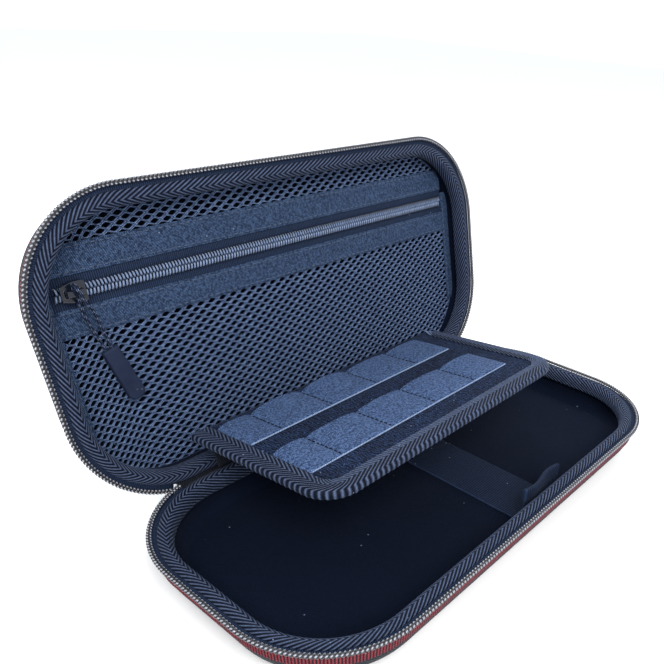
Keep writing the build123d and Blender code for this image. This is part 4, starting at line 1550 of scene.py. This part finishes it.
# %% Flap faces
def flap_layer(name, low, high, material, nap):
    """A slab between two heights on the flap, with a nap on its outer face."""
    columns, rows = 130, 66
    inset = 3.0
    half, near, far = FLAP_HALF - inset, -FLAP_BACK_GAP, inset - FLAP_REACH
    corner = FLAP_CORNER - inset
    across = np.linspace(-half, half, columns)
    down = np.linspace(near, far, rows)
    x, y = np.meshgrid(across, down, indexing="ij")
    cx = np.clip(x, corner - half, half - corner)
    cy = np.maximum(y, far + corner)
    reach = np.hypot(x - cx, y - cy)
    pull = np.where(reach > corner, corner / np.maximum(reach, 1e-6), 1.0)
    x, y = cx + (x - cx) * pull, cy + (y - cy) * pull
    rough = np.sin(x * 1.9 + 2.0 * np.sin(y * 0.7)) * np.sin(y * 2.3 + 1.5 * np.sin(x * 0.5))
    rough += 0.6 * np.sin(x * 0.31 + y * 0.22) * np.sin(y * 0.37 - x * 0.12)
    outer = high if high > 0 else low
    inner = low if high > 0 else high
    face = flap_board(x, y, outer + math.copysign(nap, outer) * rough)
    back = flap_board(x, y, np.full_like(x, inner))
    points = np.concatenate([face, back[:, ::-1]], 1)
    v = np.concatenate([down, down[::-1], down[:1]])
    mesh = grid_mesh(name, points, np.append(across, across[-1]), v)
    mesh.materials.append(material)
    return new_piece(name, mesh, "flap")


piece = flap_layer("flap_velvet", 0.62, 1.5, velvet_cloth, 0.07)
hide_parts("flap_face")
piece = flap_layer("flap_underside", -1.5, -0.62, soft_back_cloth, 0.05)
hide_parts("flap_back")
print("flap faces")

# %% [markdown]
# Each row of card pockets is one elastic strip sewn down along its seams and its front edge. The
# cloth between two seams arches, most at the mouth, and two pockets stay stretched by what they
# held. The arch is a formula over the strip, and a thin shell gives the mouths their thickness.

# %% Card pockets
SEAMS = [2 * FLAP_HALF * share for share in (-0.443, -0.333, -0.148, 0.034, 0.219, 0.383)]
POCKET_DEEP, STRIP_LOW, ELASTIC = 23.0, 1.66, 0.75
FULL_POCKETS = (1, 2)
POCKET_ROWS = 26


def pocket_lift(share_across, share_down, full):
    """How far the elastic stands off the velvet, from 0 at its seams."""
    arch = 1.0 - (2.0 * share_across - 1.0) ** 2
    arch = arch**0.85
    if full:
        return arch * (2.6 - 2.2 * share_down**0.8)
    return arch * (1.25 - 0.75 * share_down)


def card_strip(name, mouth, full_pockets):
    """One row of pockets, with the x of its columns and the height of its upper face."""
    share_down = np.concatenate([[0.0, 0.02], np.linspace(0.06, 0.97, 22), [1.0]])
    xs, lifts, presses = [], [], []
    for index, (left, right) in enumerate(zip(SEAMS, SEAMS[1:])):
        shares = np.linspace(0.0, 1.0, POCKET_ROWS)[0 if index == 0 else 1:]
        for share in shares:
            xs.append(left + (right - left) * share)
            lifts.append(pocket_lift(share, share_down, index in full_pockets))
            to_seam = min(share, 1.0 - share) * (right - left)
            presses.append(0.50 * math.exp(-((to_seam / 1.5) ** 2)))
    x, lift = np.array(xs)[:, None], np.array(lifts)
    press = np.array(presses)[:, None]
    y = -mouth - POCKET_DEEP * share_down[None, :]
    edge = np.clip(share_down[None, :] / 0.02, 0.0, 1.0) * np.clip((1 - share_down) / 0.03, 0, 1)
    twill = 0.05 * np.cos(2 * math.pi * (x + y) / 1.7)
    top = STRIP_LOW + lift + ELASTIC * (0.55 + 0.45 * edge) - press + twill
    under = STRIP_LOW + np.maximum(lift - 0.02, 0.0)
    upper = flap_board(x, y, top)
    lower = flap_board(x, y, under)
    points = np.concatenate([upper, lower[:, ::-1]], 1)
    u = np.append(x[:, 0], x[-1, 0])
    v = np.concatenate([y[0], y[0, ::-1], y[0, :1]])
    mesh = grid_mesh(name, points, u, v)
    mesh.materials.append(elastic_cloth)
    return mesh, x[:, 0], top


def thin_tube(name, board, x, y, height, radius, material, sides=8):
    """A fine rolled edge or piping along a line on a board."""
    line = np.stack([x, y, height], -1)
    heading = np.gradient(line, axis=0)
    heading /= np.linalg.norm(heading, axis=1)[:, None]
    up = np.array([0.0, 0.0, 1.0]) - heading * heading[:, 2:]
    up /= np.linalg.norm(up, axis=1)[:, None]
    side = np.cross(heading, up)
    around = np.linspace(0.0, 2 * math.pi, sides, endpoint=False)[None, :, None]
    ring = line[:, None] + radius * (np.cos(around) * up[:, None] + np.sin(around) * side[:, None])
    points = board(ring[..., 0], ring[..., 1], ring[..., 2])
    travel = np.append(x, x[-1])
    mesh = grid_mesh(name, points, travel, np.linspace(0.0, 2 * math.pi * radius, sides + 1))
    mesh.materials.append(material)
    return mesh


for name, mouth, full_pockets in (("back", 7.3, FULL_POCKETS), ("front", 44.5, ())):
    mesh, x, top = card_strip(f"elastic_row_{name}", mouth, full_pockets)
    piece = new_piece(f"elastic_row_{name}", mesh, "flap")
    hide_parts(f"card_strip_{name}")
    inside = (x > SEAMS[0] + 0.2) & (x < SEAMS[-1] - 0.2)
    mouth_line = np.full_like(x, -mouth - 0.3)
    hem = thin_tube(
        f"pocket_mouths_{name}", flap_board, x[inside], mouth_line[inside],
        top[inside, 1] - 0.30, 0.42, elastic_cloth,
    )
    new_piece(f"pocket_mouths_{name}", hem, "flap")
    low_line = np.full_like(x, -mouth - POCKET_DEEP - 0.15)
    piping = thin_tube(
        f"pocket_piping_{name}", flap_board, x[inside], low_line[inside],
        np.full(inside.sum(), 1.95), 0.34, piping_thread,
    )
    new_piece(f"pocket_piping_{name}", piping, "flap")
    seams = SEAMS[1:-1]
    mesh = stitch_row(
        f"pocket_seams_{name}", flap_board,
        [(seam, -mouth - 1.0) for seam in seams],
        [(seam, -mouth - POCKET_DEEP + 1.0) for seam in seams],
        [STRIP_LOW + 0.30] * len(seams), thick=0.50, length=1.9, gap=0.5,
    )
    mesh.materials.clear()
    mesh.materials.append(seam_thread)
    new_piece(f"pocket_seams_{name}", mesh, "flap")
    print("card pockets", name)

# %% [markdown]
# ## Neck, ribbon and the zip's folded ends
# The neck is one sheet of cloth that carries the flap from the back rim. The ribbon lies on the
# floor of the base and stands up in front, with a gentle S along its width. Both are thin closed
# skins over a line.


# %% Sheet along a line
def ribbon_mesh(name, x_values, line, thickness, sway, material):
    """A thin closed skin: a line of (y, z) points in millimetres, carried across x."""
    line = np.asarray(line, float)
    step = np.gradient(line, axis=0)
    step /= np.linalg.norm(step, axis=1)[:, None]
    normal = np.stack([-step[:, 1], step[:, 0]], -1)
    thick = np.broadcast_to(np.asarray(thickness, float), len(line))[:, None]
    front, back = line + normal * thick / 2, line - normal * thick / 2
    loop = np.concatenate([front, back[::-1]])
    loop_normal = np.concatenate([normal, normal[::-1]])
    share = np.concatenate([np.linspace(0, 1, len(line)), np.linspace(1, 0, len(line))])
    shift = sway(x_values[:, None], share[None, :])
    y = loop[None, :, 0] + loop_normal[None, :, 0] * shift
    z = loop[None, :, 1] + loop_normal[None, :, 1] * shift
    points = base_board(x_values[:, None], y, z)
    width = np.append(running_width(loop), 0.0)
    mesh = grid_mesh(name, points, np.append(x_values, x_values[-1]), width)
    mesh.materials.append(material)
    return mesh


NECK_START, NECK_END = (60.5, 22.0), (65.5, 39.5)
NECK_SEEN_END = (65.42, 39.2)
neck_line = np.linspace(NECK_START, NECK_SEEN_END, 24)
neck_x = np.linspace(-77.0, 67.0, 100)


def neck_sway(x, share):
    """The loose waves of the neck, none of them at its sewn edges."""
    return 0.35 * np.sin(x / 9.0 + 2.0 * share) * np.sin(math.pi * share)


mesh = ribbon_mesh("flap_neck_cloth", neck_x, neck_line, 0.6, neck_sway, spine_cloth)
piece = new_piece("flap_neck_cloth", mesh, "flap_neck")
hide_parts("flap_neck")

# %% [markdown]
# The lift ribbon is the same kind of skin, but its line turns up at the front and ends in a hem.

# %% Lift ribbon
RIBBON_LEFT, RIBBON_RIGHT = 4.0, 32.0
FLOOR_MIDDLE, RIBBON_BEND, RIBBON_TOP, RIBBON_FRONT = 5.42, 4.0, 24.0, -51.6
ribbon_line = [(y, FLOOR_MIDDLE) for y in np.linspace(20.0, RIBBON_FRONT + RIBBON_BEND, 60)]
ribbon_line += [
    (RIBBON_FRONT + RIBBON_BEND - RIBBON_BEND * math.sin(a),
     FLOOR_MIDDLE + RIBBON_BEND * (1 - math.cos(a)))
    for a in np.linspace(0.1, math.pi / 2, 9)
]
ribbon_line += [(RIBBON_FRONT, z) for z in np.linspace(FLOOR_MIDDLE + 4.6, RIBBON_TOP, 40)]
ribbon_line = np.array(ribbon_line)
hem = np.clip((ribbon_line[:, 1] - (RIBBON_TOP - 7.0)) / 0.4, 0.0, 1.0)
tip = np.clip((RIBBON_TOP - ribbon_line[:, 1]) / 0.5, 0.0, 1.0) * 0.6 + 0.4
ribbon_thick = (0.9 + 1.1 * hem) * tip


def ribbon_sway(x, share):
    """A curl in the standing end, and fine ribs all along."""
    standing = np.clip((share - 0.62) / 0.38, 0.0, 1.0)
    across = (x - RIBBON_LEFT) / (RIBBON_RIGHT - RIBBON_LEFT)
    ribs = 0.025 * np.cos(2 * math.pi * x / 1.1)
    return 1.1 * standing * np.sin(2 * math.pi * across) + ribs


mesh = ribbon_mesh(
    "lift_ribbon_cloth", np.linspace(RIBBON_LEFT, RIBBON_RIGHT, 96), ribbon_line,
    ribbon_thick, ribbon_sway, ribbon_cloth,
)
piece = new_piece("lift_ribbon_cloth", mesh, "base")
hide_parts("lift_ribbon")
print("ribbon", len(mesh.polygons), "faces")

# %% [markdown]
# Behind the base each end of the main zip lies folded on the wall: a patch of tape with two short
# rows of teeth. The photograph doesn't show them, so they are kept plain.

# %% Zip tails
TAIL_MIDDLE, TAIL_FACE, TAIL_HEIGHT, TAIL_LENGTH = 84.0, 62.17, 7.4, 22.0


def tail_board(x, up, out):
    """Behind the base: x, a height above the tail's middle, and a distance out of the wall."""
    x, up, out = np.broadcast_arrays(x, up, out)
    return np.stack([x, TAIL_FACE + out, TAIL_HEIGHT + up], -1) * MM


for name, side in (("left", -1.0), ("right", 1.0)):
    start = side * TAIL_MIDDLE - TAIL_LENGTH / 2
    mesh = strip(
        f"zip_tail_cloth_{name}", tail_board, straight_path(start, 0.0), TAIL_LENGTH,
        rounded_slab(-3.8, 3.8, 0.0, 0.7, 0.3), 1.0, slow_waves(0.04, 9.0),
    )
    mesh.materials.append(tape_cloth)
    piece = new_piece(f"zip_tail_cloth_{name}", mesh, "base")
    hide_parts(f"zip_tail_{name}")
    for row, level in (("upper", 1.15), ("lower", -1.15)):
        mesh = coil(
            f"zip_tail_teeth_{name}_{row}", tail_board, straight_path(start + 0.8, 0.0),
            TAIL_LENGTH - 1.6, level, 2.25, 0.7, 2.5, TOOTH_PITCH, 0.42, teeth_nylon,
            mirror=math.copysign(1.0, level),
        )
        new_piece(f"zip_tail_teeth_{name}_{row}", mesh, "base")
    print("zip tail", name)

# %% [markdown]
# ## Floor and light
# The case stands on a pale, plain floor. The light is a white room with one large soft lamp from
# the front left, high up, and a weaker one from behind that draws the upper rim.

# %% Floor and light
floor_mesh = bpy.data.meshes.new("pale_floor")
reach = 3.0
floor_mesh.from_pydata(
    [(-reach, -reach, 0.0), (reach, -reach, 0.0), (reach, reach, 0.0), (-reach, reach, 0.0)],
    [], [(0, 1, 2, 3)],
)
floor = bpy.data.objects.new("pale_floor", floor_mesh)
floor.location.z = -0.0002
bpy.context.scene.collection.objects.link(floor)
floor_paint, floor_tree, floor_shader = new_finish("pale_floor", 0.6)
floor_coords = floor_tree.nodes.new("ShaderNodeTexCoord")
floor_drift = place_group(
    floor_tree, colour_drift, Vector=floor_coords.outputs["Object"], Scale=4.0, Strength=0.4
)
floor_tree.links.new(
    mix_colors(floor_tree, floor_drift.outputs[0], (0.90, 0.90, 0.91), (0.94, 0.94, 0.94)),
    floor_shader.inputs["Base Color"],
)
floor_mesh.materials.append(floor_paint)

bpy.context.scene.view_settings.view_transform = "Standard"
world = bpy.data.worlds.new("white_room")
bpy.context.scene.world = world
world.use_nodes = True
world.node_tree.nodes["Background"].inputs["Color"].default_value = (0.93, 0.96, 1.0, 1.0)
world.node_tree.nodes["Background"].inputs["Strength"].default_value = 1.12


def soft_lamp(name, place, aim, size, power, color):
    """A round area lamp at a place that looks at a point."""
    data = bpy.data.lights.new(name, "AREA")
    data.shape = "DISK"
    data.size = size
    data.energy = power
    data.color = color
    lamp = bpy.data.objects.new(name, data)
    bpy.context.scene.collection.objects.link(lamp)
    from_there = np.array(place) - np.array(aim)
    back = from_there / np.linalg.norm(from_there)
    side = np.cross((0.0, 0.0, 1.0), back)
    side /= np.linalg.norm(side)
    up = np.cross(back, side)
    rows = [(side[i], up[i], back[i], place[i]) for i in range(3)]
    lamp.matrix_world = Matrix(rows + [(0.0, 0.0, 0.0, 1.0)])


CASE_MIDDLE = (0.0, 0.03, 0.05)
soft_lamp("front_left_lamp", (-0.55, -0.75, 0.95), CASE_MIDDLE, 0.7, 16.0, (1.0, 0.98, 0.95))
soft_lamp("back_lamp", (0.35, 0.75, 0.85), CASE_MIDDLE, 0.6, 8.0, (0.92, 0.96, 1.0))
print("lights", len(bpy.data.lights))

# %% [markdown]
# ## Done
# The dressed case must stay as large as its solids. The last call brings the scene up to date.

# %% Finish
bpy.context.view_layer.update()
